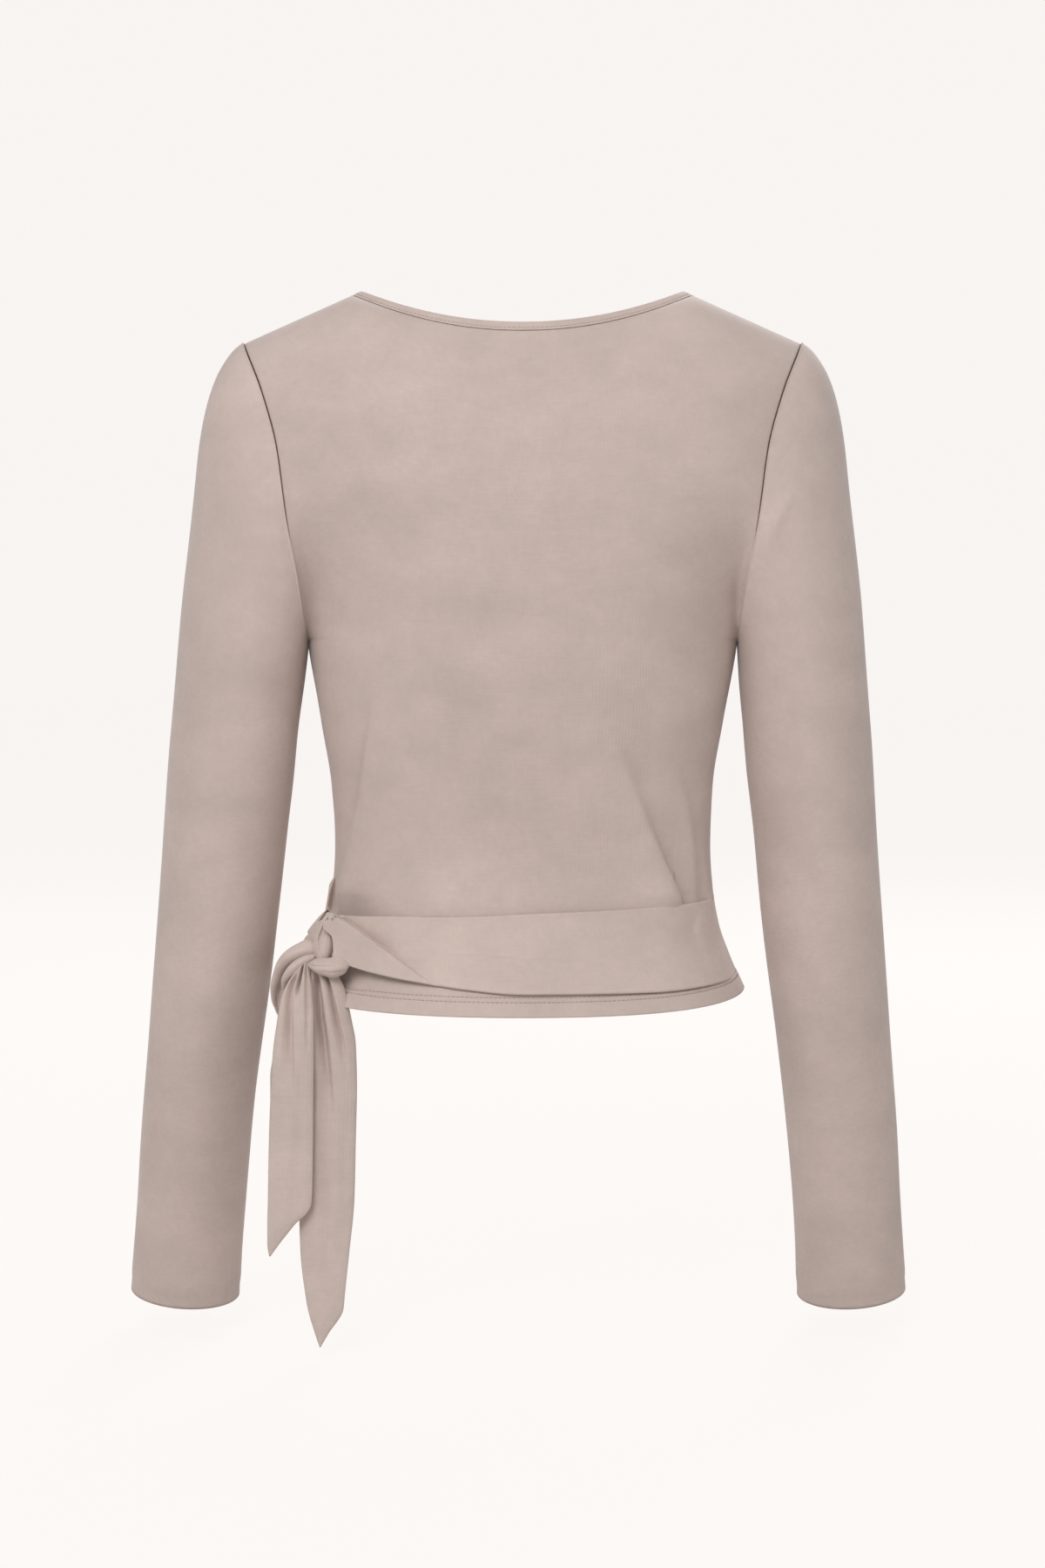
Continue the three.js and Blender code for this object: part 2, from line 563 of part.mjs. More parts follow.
const group = new THREE.Group();
group.add(
  backPanel(),
  frontPanel("front_right", 1, true),
  frontPanel("front_left", -1, false),
  sleeve("sleeve_left", "left", -1),
  sleeve("sleeve_right", "right", 1),
  backBinding(),
  frontBinding("neck_binding_right", 1, true),
  frontBinding("neck_binding_left", -1, false),
  tieAcrossBack(),
  ribbon("tie_from_front", FRONT_TIE),
  ribbon("knot_wrap_up", WRAP_UP),
  ribbon("knot_wrap_over", WRAP_OVER),
  ribbon("knot_loop", LOOP),
  ribbon("tie_end_short", END_SHORT),
  ribbon("tie_end_long", END_LONG),
);

export default group;
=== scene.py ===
"""A wrap cardigan in fine jersey, filled out as if worn, with its tie knotted at the wearer's left hip."""

import bpy
import mathutils
import numpy as np
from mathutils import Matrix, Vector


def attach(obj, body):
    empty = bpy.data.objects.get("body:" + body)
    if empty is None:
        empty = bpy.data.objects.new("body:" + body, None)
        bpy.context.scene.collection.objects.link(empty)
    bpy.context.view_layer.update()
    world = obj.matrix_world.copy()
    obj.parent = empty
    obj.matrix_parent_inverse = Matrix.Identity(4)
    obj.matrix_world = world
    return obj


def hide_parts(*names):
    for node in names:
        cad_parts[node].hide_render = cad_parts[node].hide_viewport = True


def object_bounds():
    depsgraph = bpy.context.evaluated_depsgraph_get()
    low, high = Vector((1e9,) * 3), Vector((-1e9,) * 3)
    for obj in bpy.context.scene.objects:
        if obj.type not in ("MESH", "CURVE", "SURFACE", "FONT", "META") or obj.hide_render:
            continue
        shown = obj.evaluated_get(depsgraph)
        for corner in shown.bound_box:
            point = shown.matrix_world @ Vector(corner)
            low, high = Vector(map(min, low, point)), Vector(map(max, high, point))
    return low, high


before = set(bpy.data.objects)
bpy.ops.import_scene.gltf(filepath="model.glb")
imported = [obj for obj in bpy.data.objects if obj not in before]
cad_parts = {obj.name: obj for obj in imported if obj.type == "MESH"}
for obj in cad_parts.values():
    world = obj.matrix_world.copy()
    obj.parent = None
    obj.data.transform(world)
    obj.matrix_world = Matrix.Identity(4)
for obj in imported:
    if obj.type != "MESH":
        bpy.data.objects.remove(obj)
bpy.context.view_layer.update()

# ---------------------------------------------------------------------------------------------
# Back
# One panel of fine cotton jersey, cut side seam to side seam, with a scooped neck. Its hem is
# turned up once and held by two rows of cover stitch. Two tucks form where the tie pulls it in.
# ---------------------------------------------------------------------------------------------

MM = 0.001
CLOTH = 1.2  # one layer of jersey with its turnings, in millimetres as all sizes here
SEAM = 0.15  # half the gap between two pieces at a seam
TIP_X, TIP_Z = 187.0, -35.0  # shoulder tip, at the top of the armhole
UNDERARM_Z = -234.0
HEM_Z = -468.0
HEM_DROP = 12.0  # the hem's middle hangs this far below its sides
NECK_X, NECK_Z, NECK_BACK, NECK_SCOOP = 114.3, -3.0, 62.0, 26.7
ARMHOLE_DEPTH = {"back": 64.0, "front": 60.0}
NECK_SHARE = NECK_X / TIP_X
UNDERARM_X = 145.4
SIDE_CURVE = 0.85  # power that squares the sections below the armhole
TOP_CURVE = 2.4  # power of the flatter sections above it, and of the hem's sag
NECK_CURVE = 2.1  # power of the scooped neck's line
CORNER = {"slope": 0.5, "scoop": 16, "neck": 1.4}  # how widely the body rounds where shoulder and neck meet

# One row for each height: half width, and depth behind and in front of the side seams.
BODY = [
    {"z": -468, "half": 149.5, "back": 93, "front": 92},
    {"z": -450, "half": 141.5, "back": 87, "front": 90},
    {"z": -426, "half": 133.0, "back": 78, "front": 87},
    {"z": -400, "half": 128.6, "back": 72, "front": 85},
    {"z": -373, "half": 127.0, "back": 69, "front": 84},
    {"z": -332, "half": 128.8, "back": 75, "front": 91},
    {"z": -290, "half": 135.5, "back": 83, "front": 101},
    {"z": -234, "half": 145.4, "back": 90, "front": 108},
    {"z": -190, "half": 149.5, "back": 92, "front": 105},
    {"z": -150, "half": 156.0, "back": 91, "front": 95},
    {"z": -106, "half": 162.0, "back": 86, "front": 80},
    {"z": -69, "half": 172.5, "back": 79, "front": 66},
    {"z": -35, "half": 187.0, "back": 70, "front": 52},
]

# Creases of the back: a line from top to bottom, how far it stands out (or in, below nought) at each end,
# and how far it spreads to its left and right. A narrow spread on one side makes a sharp tuck.
BACK_CREASES = [
    {"x": (56, 82, 103, 107), "z": (-285, -352, -404, -415), "high": (0.0, 3.4, 7.5, 2.0),
     "left": 26, "right": 2.2},
    {"x": (68, 92, 110, 114), "z": (-290, -352, -404, -416), "high": (0.0, -3.2, -6.0, -2.5),
     "left": 7, "right": 13},
    {"x": (98, 112, 118), "z": (-300, -356, -410), "high": (0.0, 1.2, 2.0), "left": 5, "right": 3},
    {"x": (122, 124, 127), "z": (-370, -390, -408), "high": (0.0, 1.2, 1.8), "left": 2, "right": 3},
    {"x": (-96, -107, -121, -123), "z": (-255, -335, -402, -415), "high": (0.0, 3.2, 6.5, 3.0),
     "left": 2.4, "right": 24},
    {"x": (-104, -114, -127), "z": (-265, -335, -414), "high": (0.0, -2.6, -3.5), "left": 8, "right": 5},
    {"x": (-104, -110, -114), "z": (-394, -405, -418), "high": (0.0, -2.4, -6.0), "left": 7, "right": 11},
    {"x": (30, 22, 18), "z": (-310, -360, -408), "high": (0.0, 0.5, 1.0), "left": 26, "right": 22},
    {"x": (-40, -46, -52), "z": (-330, -372, -408), "high": (0.0, 0.4, 0.9), "left": 20, "right": 26},
]


def curve(rows, key, column):
    """Smooth curve through a table: cubic steps whose slopes are the harmonic mean of their neighbours'."""
    xs = np.array([row[key] for row in rows], float)
    ys = np.array([row[column] for row in rows], float)
    step = np.diff(xs)
    secant = np.diff(ys) / step
    before = np.concatenate([secant[:1], secant])
    after = np.concatenate([secant, secant[-1:]])
    total = before + after
    same_way = before * after > 0
    slope = np.where(same_way, 2 * before * after / np.where(same_way, total, 1), 0)

    def value(x):
        at = np.clip(x, xs[0], xs[-1])
        i = np.clip(np.searchsorted(xs, at, side="right") - 1, 0, len(xs) - 2)
        t = (at - xs[i]) / step[i]
        rise = ys[i + 1] - ys[i]
        lead = step[i] * slope[i]
        trail = step[i] * slope[i + 1]
        return ys[i] + t * (lead + t * (3 * rise - 2 * lead - trail + t * (lead + trail - 2 * rise)))

    return value


half_width_at = curve(BODY, "z", "half")
depth_at = {"back": curve(BODY, "z", "back"), "front": curve(BODY, "z", "front")}


def smooth(low, high, x):
    """0 below low, 1 above high, and 3t^2 - 2t^3 between."""
    t = np.clip((x - low) / (high - low), 0, 1)
    return t * t * (3 - 2 * t)


def soft_max(a, b, blend):
    """The larger of two values, its corner rounded: half of a + b + sqrt((a - b)^2 + blend^2)."""
    return (a + b + np.sqrt((a - b) ** 2 + blend**2)) / 2


def soft_min(a, b, blend):
    """The smaller of two values, its corner rounded in the same way."""
    return -soft_max(-a, -b, blend)


def edge_height(row):
    """Height of the side edge: straight from hem (0) to underarm (1), then round the armhole's oval to 2."""
    up = HEM_Z + (UNDERARM_Z - HEM_Z) * row
    middle, reach = (TIP_Z + UNDERARM_Z) / 2, (TIP_Z - UNDERARM_Z) / 2
    return np.where(row <= 1, up, middle - reach * np.cos(np.pi * (row - 1)))


def body_point(side, across, row):
    """Point of the body at a share across (-1 left, 1 right) and a row (0 hem, 1 underarm, 2 shoulder).

    Below the armhole a section is an oval: x = half sin(a), y = depth cos(a)^0.85. Towards the shoulder
    it opens into a flatter curve between the armhole's edges, and the top row is the shoulder seam and,
    on the back, the scooped neck.
    """
    across, row = np.broadcast_arrays(np.asarray(across, float), np.asarray(row, float))
    side_z = edge_height(row)
    u = np.abs(across)
    upper = smooth(-300, TIP_Z, side_z)
    angle = u * np.pi / 2
    x = half_width_at(side_z) * ((1 - upper) * np.sin(angle) + upper * u)
    turn = np.pi * np.maximum(row - 1, 0)
    close = np.where(row > 1.5, np.sin(turn), 1)

    def shoulder(share):
        return soft_min((1 - share) / (1 - NECK_SHARE), 1, CORNER["slope"] * close)

    def scoop(share):
        return soft_max(NECK_SCOOP * (1 - (share / NECK_SHARE) ** NECK_CURVE), 0, CORNER["scoop"] * close)

    def neck_oval(share):
        return soft_max(1 - (share / NECK_SHARE) ** 2, 0, CORNER["neck"] * close)

    near = u**6  # takes the rounding of the corners back out at the armhole's edge
    slope = shoulder(u) - shoulder(1.0) * near
    dip = scoop(u) - scoop(1.0) * near if side == "back" else 0
    hang = HEM_DROP * (1 - u**TOP_CURVE) * (1 - smooth(0, 1, row))
    z = side_z + ((NECK_Z - TIP_Z) * slope - dip) * upper - hang
    rim = ARMHOLE_DEPTH[side] * np.where(row > 1.5, 1, np.sin(turn))
    inside = ARMHOLE_DEPTH[side] * smooth(UNDERARM_Z, (UNDERARM_Z + TIP_Z) / 2, side_z)
    edge = inside + (rim - inside) * u**12
    full = (1 - upper) * np.maximum(np.cos(angle), 0) ** SIDE_CURVE + upper * (1 - u**TOP_CURVE)
    depth = edge + (depth_at[side](side_z) - edge) * full
    oval = neck_oval(u) - neck_oval(1.0) * near
    neck = NECK_BACK * np.sqrt(np.maximum(oval, 0)) if side == "back" else 0
    depth = neck * (1 - close) + depth * close + SEAM
    y = -depth if side == "back" else depth
    return np.stack([np.sign(across) * x, y, z], -1)


def unit(v):
    """The same directions, one long."""
    return v / np.maximum(np.linalg.norm(v, axis=-1, keepdims=True), 1e-9)


def surface_out(points, flip=1):
    """Way out of a grid's cloth: its direction down the rows crossed with its direction along them."""
    along = np.gradient(points, axis=1)
    up = np.gradient(points, axis=0)
    return unit(np.cross(along, up)) * flip


def crease_lift(creases, x, z):
    """How far creases lift the cloth: a bell across each line, its height eased from end to end."""
    total = np.zeros_like(x)
    for crease in creases:
        downs = -np.array(crease["z"], float)
        line = np.interp(-z, downs, crease["x"])
        high = np.interp(-z, downs, crease["high"])
        past = smooth(downs[-1] + 5, downs[-1], -z)
        beside = x - line
        spread = np.where(beside < 0, crease["left"], crease["right"])
        total += high * past * np.exp(-((beside / spread) ** 2))
    return total


def cloth_waves(points, high):
    """Slight unevenness of worn cloth: a few long sine waves of different lengths and leanings."""
    x, y, z = np.moveaxis(points, -1, 0)
    wave = np.sin(x / 31 + z / 47 + 0.8) + np.sin(x / 23 - z / 67 + y / 29 + 2.1)
    return high * (wave + 0.7 * np.sin(z / 19 + x / 83 + y / 41)) / 2.7


def grid_mesh(name, points, flat, round_ring=False):
    """Mesh of a grid of points in millimetres, with a UV map of its flat cut in metres."""
    rows, columns = points.shape[:2]
    index = np.arange(rows * columns).reshape(rows, columns)
    nxt = np.roll(index, -1, axis=1) if round_ring else index[:, 1:]
    here = index if round_ring else index[:, :-1]
    faces = np.stack([here[:-1], nxt[:-1], nxt[1:], here[1:]], -1).reshape(-1, 4)
    mesh = bpy.data.meshes.new(name)
    mesh.vertices.add(rows * columns)
    mesh.vertices.foreach_set("co", (points * MM).astype(np.float32).ravel())
    mesh.loops.add(faces.size)
    mesh.loops.foreach_set("vertex_index", faces.ravel().astype(np.int32))
    mesh.polygons.add(len(faces))
    mesh.polygons.foreach_set("loop_start", np.arange(0, faces.size, 4, dtype=np.int32))
    mesh.update(calc_edges=True)
    mesh.polygons.foreach_set("use_smooth", np.ones(len(faces), bool))
    u, v = np.meshgrid(np.linspace(0, flat[0], columns), np.linspace(0, flat[1], rows))
    uv = np.stack([u, v], -1).reshape(-1, 2)[faces.ravel()]
    mesh.uv_layers.new(name="cut").data.foreach_set("uv", uv.astype(np.float32).ravel())
    piece = bpy.data.objects.new(name, mesh)
    bpy.context.scene.collection.objects.link(piece)
    return piece


def cut_size(points):
    """Widest run across the grid, longest run up it, and its area, in metres and square metres."""
    across = np.linalg.norm(np.diff(points, axis=1), axis=-1)
    up = np.linalg.norm(np.diff(points, axis=0), axis=-1)
    cells = np.cross(points[1:, :-1] - points[:-1, :-1], points[:-1, 1:] - points[:-1, :-1])
    area = np.linalg.norm(cells, axis=-1).sum() * MM * MM
    return across.sum(1).max() * MM, up.sum(0).max() * MM, area


def thin_wall(piece, thick):
    """Gives a surface its cloth's thickness, inwards."""
    wall = piece.modifiers.new("cloth", "SOLIDIFY")
    wall.thickness = thick * MM
    wall.offset = -1
    wall.use_even_offset = False


KNIT_LINES = 90  # streaks in a metre along a knit row


def jersey(name, colour):
    """Fine jersey: a washed, faintly mottled colour, a light nap, and knit rows too small to count.

    Colour: the base, made a little lighter or darker by two noises on the object and by fine streaks
    along the knit rows. Bump: rows and wales on the flat cut, with a soft noise.
    """
    material = bpy.data.materials.new(name)
    material.use_nodes = True
    nodes, links = material.node_tree.nodes, material.node_tree.links
    shader = nodes["Principled BSDF"]
    shader.inputs["Roughness"].default_value = 0.88
    shader.inputs["Specular IOR Level"].default_value = 0.25
    shader.inputs["Sheen Weight"].default_value = 0.22
    shader.inputs["Sheen Roughness"].default_value = 0.5
    place = nodes.new("ShaderNodeTexCoord")

    def noise(scale, detail, stretch, out="Object"):
        spread = nodes.new("ShaderNodeMapping")
        spread.inputs["Scale"].default_value = stretch
        links.new(place.outputs[out], spread.inputs["Vector"])
        texture = nodes.new("ShaderNodeTexNoise")
        texture.inputs["Scale"].default_value = scale
        texture.inputs["Detail"].default_value = detail
        texture.inputs["Roughness"].default_value = 0.6
        links.new(spread.outputs["Vector"], texture.inputs["Vector"])
        return texture.outputs["Fac"]

    def ramp(value, low, high, dark, light):
        spread = nodes.new("ShaderNodeMapRange")
        spread.inputs["From Min"].default_value = low
        spread.inputs["From Max"].default_value = high
        spread.inputs["To Min"].default_value = dark
        spread.inputs["To Max"].default_value = light
        links.new(value, spread.inputs["Value"])
        return spread.outputs["Result"]

    def times(a, b):
        product = nodes.new("ShaderNodeMath")
        product.operation = "MULTIPLY"
        links.new(a, product.inputs[0])
        links.new(b, product.inputs[1])
        return product.outputs["Value"]

    clouds = ramp(noise(12, 5, (1, 1, 1.5)), 0.3, 0.7, 0.925, 1.065)
    patches = ramp(noise(42, 3, (1, 1, 1.3)), 0.3, 0.7, 0.97, 1.03)
    speckle = ramp(noise(260, 3, (1, 1, 1)), 0.3, 0.7, 0.975, 1.025)
    streaks = ramp(noise(KNIT_LINES, 2, (1, 9, 1), "UV"), 0.3, 0.7, 0.975, 1.025)
    tone = times(times(clouds, patches), times(speckle, streaks))
    tint = nodes.new("ShaderNodeVectorMath")
    tint.operation = "SCALE"
    tint.inputs[0].default_value = colour
    links.new(tone, tint.inputs["Scale"])
    links.new(tint.outputs["Vector"], shader.inputs["Base Color"])

    wave = nodes.new("ShaderNodeTexWave")
    wave.bands_direction = "X"
    wave.inputs["Scale"].default_value = 180
    wave.inputs["Distortion"].default_value = 1.2
    wave.inputs["Detail"].default_value = 1
    links.new(place.outputs["UV"], wave.inputs["Vector"])
    rough = noise(900, 2, (1, 1, 1))
    height = nodes.new("ShaderNodeMath")
    height.operation = "ADD"
    links.new(wave.outputs["Fac"], height.inputs[0])
    links.new(rough, height.inputs[1])
    bump = nodes.new("ShaderNodeBump")
    bump.inputs["Strength"].default_value = 0.16
    bump.inputs["Distance"].default_value = 0.0004
    links.new(height.outputs["Value"], bump.inputs["Height"])
    links.new(bump.outputs["Normal"], shader.inputs["Normal"])
    return material


BODY_JERSEY = jersey("body_jersey", (0.545, 0.445, 0.405))


def sewn_piece(name, points, material, thick=CLOTH, round_ring=False, replaces=None):
    """A cut piece of cloth: its surface with a thickness, its material, body and cut."""
    width, length, area = cut_size(points)
    piece = grid_mesh(name, points, (width, length), round_ring)
    thin_wall(piece, thick)
    piece.data.materials.append(material)
    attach(piece, "root")
    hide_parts(replaces or name.replace("_cloth", ""))
    return piece


STITCH = {"long": 2.3, "pitch": 3.1, "radius": 0.26}
# Thread for all stitching. Its colour is darker than the cloth's: painted shade that stands in for the
# shadow in the stitch holes, so the rows read as dark dots.
thread_painted_shade = bpy.data.materials.new("thread_painted_shade")
thread_painted_shade.use_nodes = True
thread_shader = thread_painted_shade.node_tree.nodes["Principled BSDF"]
thread_shader.inputs["Base Color"].default_value = (0.40, 0.315, 0.28, 1)
thread_shader.inputs["Roughness"].default_value = 0.7


def stitches(name, paths, outs, sink=0.05):
    """Rows of stitches: short six-sided threads at an even pitch along each path, lying on the cloth.

    Each stitch is three rings round its own line, narrow at the ends; all are placed as one array.
    """
    vertices, faces = [], []
    rings = np.array([(-0.5, 0.35), (-0.3, 1.0), (0.3, 1.0), (0.5, 0.35)])
    turn = np.arange(6) * np.pi / 3
    base = 0
    for path, out in zip(paths, outs):
        run = np.concatenate([[0], np.cumsum(np.linalg.norm(np.diff(path, axis=0), axis=1))])
        at = np.arange(STITCH["pitch"], run[-1] - STITCH["pitch"], STITCH["pitch"])
        centre = np.stack([np.interp(at, run, path[:, k]) for k in range(3)], -1)
        ahead = np.stack([np.interp(at + 0.5, run, path[:, k]) for k in range(3)], -1)
        normal = unit(np.stack([np.interp(at, run, out[:, k]) for k in range(3)], -1))
        along = unit(ahead - centre)
        beside = np.cross(along, normal)
        ring = centre[:, None, None] + along[:, None, None] * (rings[:, 0] * STITCH["long"])[:, None, None]
        thick = (rings[:, 1] * STITCH["radius"])[:, None, None]
        around = beside[:, None] * np.cos(turn)[:, None] + normal[:, None] * np.sin(turn)[:, None]
        points = ring + around[:, None] * thick + normal[:, None, None] * (STITCH["radius"] - sink)
        vertices.append(points.reshape(-1, 3))
        one = np.arange(24).reshape(4, 6)
        beyond = np.roll(one, -1, 1)
        side = np.stack([one[:-1], beyond[:-1], beyond[1:], one[1:]], -1).reshape(-1, 4)
        starts = base + 24 * np.arange(len(at))[:, None, None]
        faces.append((starts + side).reshape(-1, 4))
        base += 24 * len(at)
    points, quads = np.concatenate(vertices), np.concatenate(faces)
    mesh = bpy.data.meshes.new(name)
    mesh.from_pydata((points * MM).tolist(), [], quads.tolist())
    mesh.polygons.foreach_set("use_smooth", np.ones(len(quads), bool))
    piece = bpy.data.objects.new(name, mesh)
    bpy.context.scene.collection.objects.link(piece)
    piece.data.materials.append(thread_painted_shade)
    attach(piece, "root")
    return piece


HEM_DEPTH = 11.8  # height of the turning
HEM_LINES = (10.2, 13.4)  # the two rows of cover stitch above the hem's edge
HEM_THICK = 0.55  # what the turning adds


def hem_relief(up):
    """The turned-up hem: thicker below its stitching, with a shallow channel along each row of stitch."""
    step = HEM_THICK * (1 - smooth(HEM_DEPTH, HEM_DEPTH + 2.6, up))
    channels = sum(0.42 * np.exp(-(((up - line) / 0.9) ** 2)) for line in HEM_LINES)
    return step - channels


hem_rows = np.linspace(0, 0.085, 26)
side_rows = np.linspace(0.085, 1, 104)[1:]
armhole_rows = 1 + np.linspace(0, 0.985, 88)[1:] ** 0.97
neck_lines = NECK_SHARE * np.sin(np.linspace(-1, 1, 85) * np.pi / 2)
SEAM_ROLL = (0, 0.3, 0.7, 1.2, 1.8, 2.8)  # lines this far from a seam, where the cloth rolls in
HALF_RUN, ARMHOLE_RUN = 170, 220  # cloth from the middle to the armhole, and up one row of the armhole
near_side = 1 - np.array(SEAM_ROLL[::-1]) / HALF_RUN
shoulder_lines = np.concatenate([np.linspace(NECK_SHARE, near_side[0], 30)[1:-1], near_side])
back_lines = np.concatenate([-shoulder_lines[::-1], neck_lines, shoulder_lines])
top_rows = 2 - np.array(SEAM_ROLL[::-1]) / ARMHOLE_RUN
body_rows = np.concatenate([hem_rows, side_rows, armhole_rows, top_rows])


def seam_roll(across, row, deep=0.42, wide=0.6):
    """How far a panel's cloth rolls in at the armhole and along its top: a bell on the way to the seam."""
    beside = (1 - np.abs(across)) * HALF_RUN
    below = (2 - row) * ARMHOLE_RUN
    armhole = np.exp(-((beside / wide) ** 2)) * smooth(0.97, 1.06, row)
    return -deep * np.maximum(armhole, np.exp(-((below / wide) ** 2)))


def above_hem(points):
    """Height of each point of a grid above its own line's hem, measured up the cloth."""
    steps = np.linalg.norm(np.diff(points, axis=0), axis=-1)
    return np.concatenate([np.zeros((1, points.shape[1])), np.cumsum(steps, axis=0)])


def back_surface(across, row, lift=0.0):
    """The back with its creases: the body's form moved out by creases, waves and the hem's turning."""
    flat = body_point("back", across, row)
    out = surface_out(flat)
    x, z = flat[..., 0], flat[..., 2]
    keep = smooth(2.0, 1.9, row) * smooth(1.0, 0.97, np.abs(across))
    rise = (crease_lift(BACK_CREASES, x, z) + cloth_waves(flat, 0.7)) * keep + seam_roll(across, row)
    points = flat + out * (rise + lift)[..., None]
    points[..., 1] = np.minimum(points[..., 1], -SEAM)
    return points


across_grid, row_grid = np.meshgrid(back_lines, body_rows)
back_points = back_surface(across_grid, row_grid)
back_out = surface_out(back_points)
back_up = above_hem(back_points)
back_points = back_points + back_out * hem_relief(back_up)[..., None]
sewn_piece("back_cloth", back_points, BODY_JERSEY, replaces="back")


def hem_lines(points, up, out):
    """Paths of a hem's two rows of stitch, and the way out along them."""
    paths, ways = [], []
    for line in HEM_LINES:
        nearest = np.abs(up - line).argmin(0)
        columns = np.arange(points.shape[1])
        paths.append(points[nearest, columns][1:-1])
        ways.append(out[nearest, columns][1:-1])
    return paths, ways


paths, ways = hem_lines(back_points, back_up, back_out)
stitches("back_hem_stitches", paths, ways)

# ---------------------------------------------------------------------------------------------
# Fronts
# Two fronts cut alike, each from its own side seam and armhole to a long slanting neck edge. The
# wearer's right front laps over the left and runs to the left hip; the left runs underneath.
# ---------------------------------------------------------------------------------------------

LAYER_STEP = 2.8
NECK_EDGE = [
    {"row": 0.285, "across": -0.985},
    {"row": 0.34, "across": -0.81},
    {"row": 0.42, "across": -0.62},
    {"row": 0.55, "across": -0.42},
    {"row": 1.0, "across": -0.035},
    {"row": 1.5, "across": 0.3},
    {"row": 1.8, "across": 0.47},
    {"row": 2.0, "across": NECK_SHARE},
]
edge_across = curve(NECK_EDGE, "row", "across")

# Pulls of the outer front towards the knot at the left hip, and of both fronts under the arms.
FRONT_CREASES = [
    {"x": (10, -52, -112), "z": (-268, -345, -418), "high": (0.0, 1.6, 3.2), "left": 5, "right": 15},
    {"x": (62, -20, -116), "z": (-330, -392, -432), "high": (0.0, 1.3, 2.6), "left": 12, "right": 5},
    {"x": (98, 20, -110), "z": (-392, -428, -446), "high": (0.0, 0.8, 1.8), "left": 16, "right": 9},
    {"x": (104, 92, 74), "z": (-225, -262, -318), "high": (0.0, 1.3, 0.0), "left": 12, "right": 7},
    {"x": (-104, -90, -70), "z": (-222, -256, -300), "high": (0.0, 1.2, 0.0), "left": 7, "right": 12},
]


def front_surface(sign, own, row, is_outer, lift=0.0):
    """A front: the body's form, moved out where it laps over the other and in where it lies under it."""
    across = sign * own
    flat = body_point("front", across, row)
    away = surface_out(flat, flip=-1 if sign > 0 else 1)
    middle = smooth(-0.9, 0.9, across)
    layer = LAYER_STEP * (1 - middle) if is_outer else -LAYER_STEP * middle
    keep = smooth(2.0, 1.85, row) * smooth(1.0, 0.95, np.abs(across))
    crease = crease_lift(FRONT_CREASES, flat[..., 0], flat[..., 2])
    rise = (crease + cloth_waves(flat, 0.6)) * keep + seam_roll(across, row)
    points = flat + away * (layer + rise + lift)[..., None]
    points[..., 1] = np.maximum(points[..., 1], SEAM)
    return points


def front_panel(name, sign, is_outer):
    """One front on a grid from its neck edge to its side seam, with its hem and hem stitches."""
    share = np.concatenate([np.linspace(0, near_side[0], 96)[:-1], near_side])
    row = np.repeat(body_rows[:, None], len(share), 1)
    edge = edge_across(row)
    own = edge + (1 - edge) * share
    points = front_surface(sign, own, row, is_outer)
    flip = -1 if sign > 0 else 1
    out = surface_out(points, flip)
    up = above_hem(points)
    points = points + out * hem_relief(up)[..., None]
    ordered = points[:, ::-1] if sign > 0 else points
    sewn_piece(name + "_cloth", ordered, BODY_JERSEY, replaces=name)
    paths, ways = hem_lines(points, up, out)
    stitches(name + "_hem_stitches", paths, ways)


front_panel("front_right", 1, True)
front_panel("front_left", -1, False)

# ---------------------------------------------------------------------------------------------
# Sleeves
# Set-in sleeves in the same jersey, one piece each with a seam under the arm, eased into the
# armhole. They hang slightly forward and end in a turned-up hem with two rows of cover stitch.
# ---------------------------------------------------------------------------------------------

SLEEVE = [
    {"outer_x": 187.2, "outer_z": -35, "inner_x": 145.6, "inner_z": -234, "depth": 64, "forward": 0},
    {"outer_x": 193.5, "outer_z": -40, "inner_x": 145.9, "inner_z": -236, "depth": 64, "forward": 0},
    {"outer_x": 203.5, "outer_z": -55, "inner_x": 146.2, "inner_z": -239, "depth": 63.5, "forward": 0},
    {"outer_x": 210.5, "outer_z": -75, "inner_x": 146.5, "inner_z": -243, "depth": 62, "forward": 0},
    {"outer_x": 215.5, "outer_z": -100, "inner_x": 146.9, "inner_z": -248, "depth": 60, "forward": 0},
    {"outer_x": 219.5, "outer_z": -132, "inner_x": 147.4, "inner_z": -254, "depth": 57.5, "forward": 0},
    {"outer_x": 223.5, "outer_z": -165, "inner_x": 148.1, "inner_z": -262, "depth": 54.5, "forward": 0.3},
    {"outer_x": 228, "outer_z": -205, "inner_x": 149.4, "inner_z": -274, "depth": 51, "forward": 0.6},
    {"outer_x": 232, "outer_z": -248, "inner_x": 151.5, "inner_z": -292, "depth": 48, "forward": 1.2},
    {"outer_x": 236, "outer_z": -297, "inner_x": 154.5, "inner_z": -324, "depth": 46, "forward": 2.5},
    {"outer_x": 239.5, "outer_z": -347, "inner_x": 159, "inner_z": -361, "depth": 44, "forward": 5},
    {"outer_x": 243.5, "outer_z": -396, "inner_x": 163.8, "inner_z": -405, "depth": 42, "forward": 8.5},
    {"outer_x": 247.5, "outer_z": -446, "inner_x": 169.8, "inner_z": -453, "depth": 40, "forward": 13.5},
    {"outer_x": 252.5, "outer_z": -500, "inner_x": 177, "inner_z": -506, "depth": 38, "forward": 21},
    {"outer_x": 257.5, "outer_z": -556, "inner_x": 184.2, "inner_z": -562, "depth": 36, "forward": 30},
    {"outer_x": 262, "outer_z": -612, "inner_x": 189.9, "inner_z": -617, "depth": 34, "forward": 40},
    {"outer_x": 266.3, "outer_z": -655, "inner_x": 193.6, "inner_z": -660, "depth": 32.5, "forward": 49},
    {"outer_x": 269.3, "outer_z": -685, "inner_x": 195.4, "inner_z": -690, "depth": 32, "forward": 56},
]
SLEEVE_LEAN = {"left": 2.8, "right": -2.8}
BOW = [1, 0.92, 0.74, 0.54, 0.36, 0.2, 0.08, 0]  # how much of the armhole's bow each first section keeps
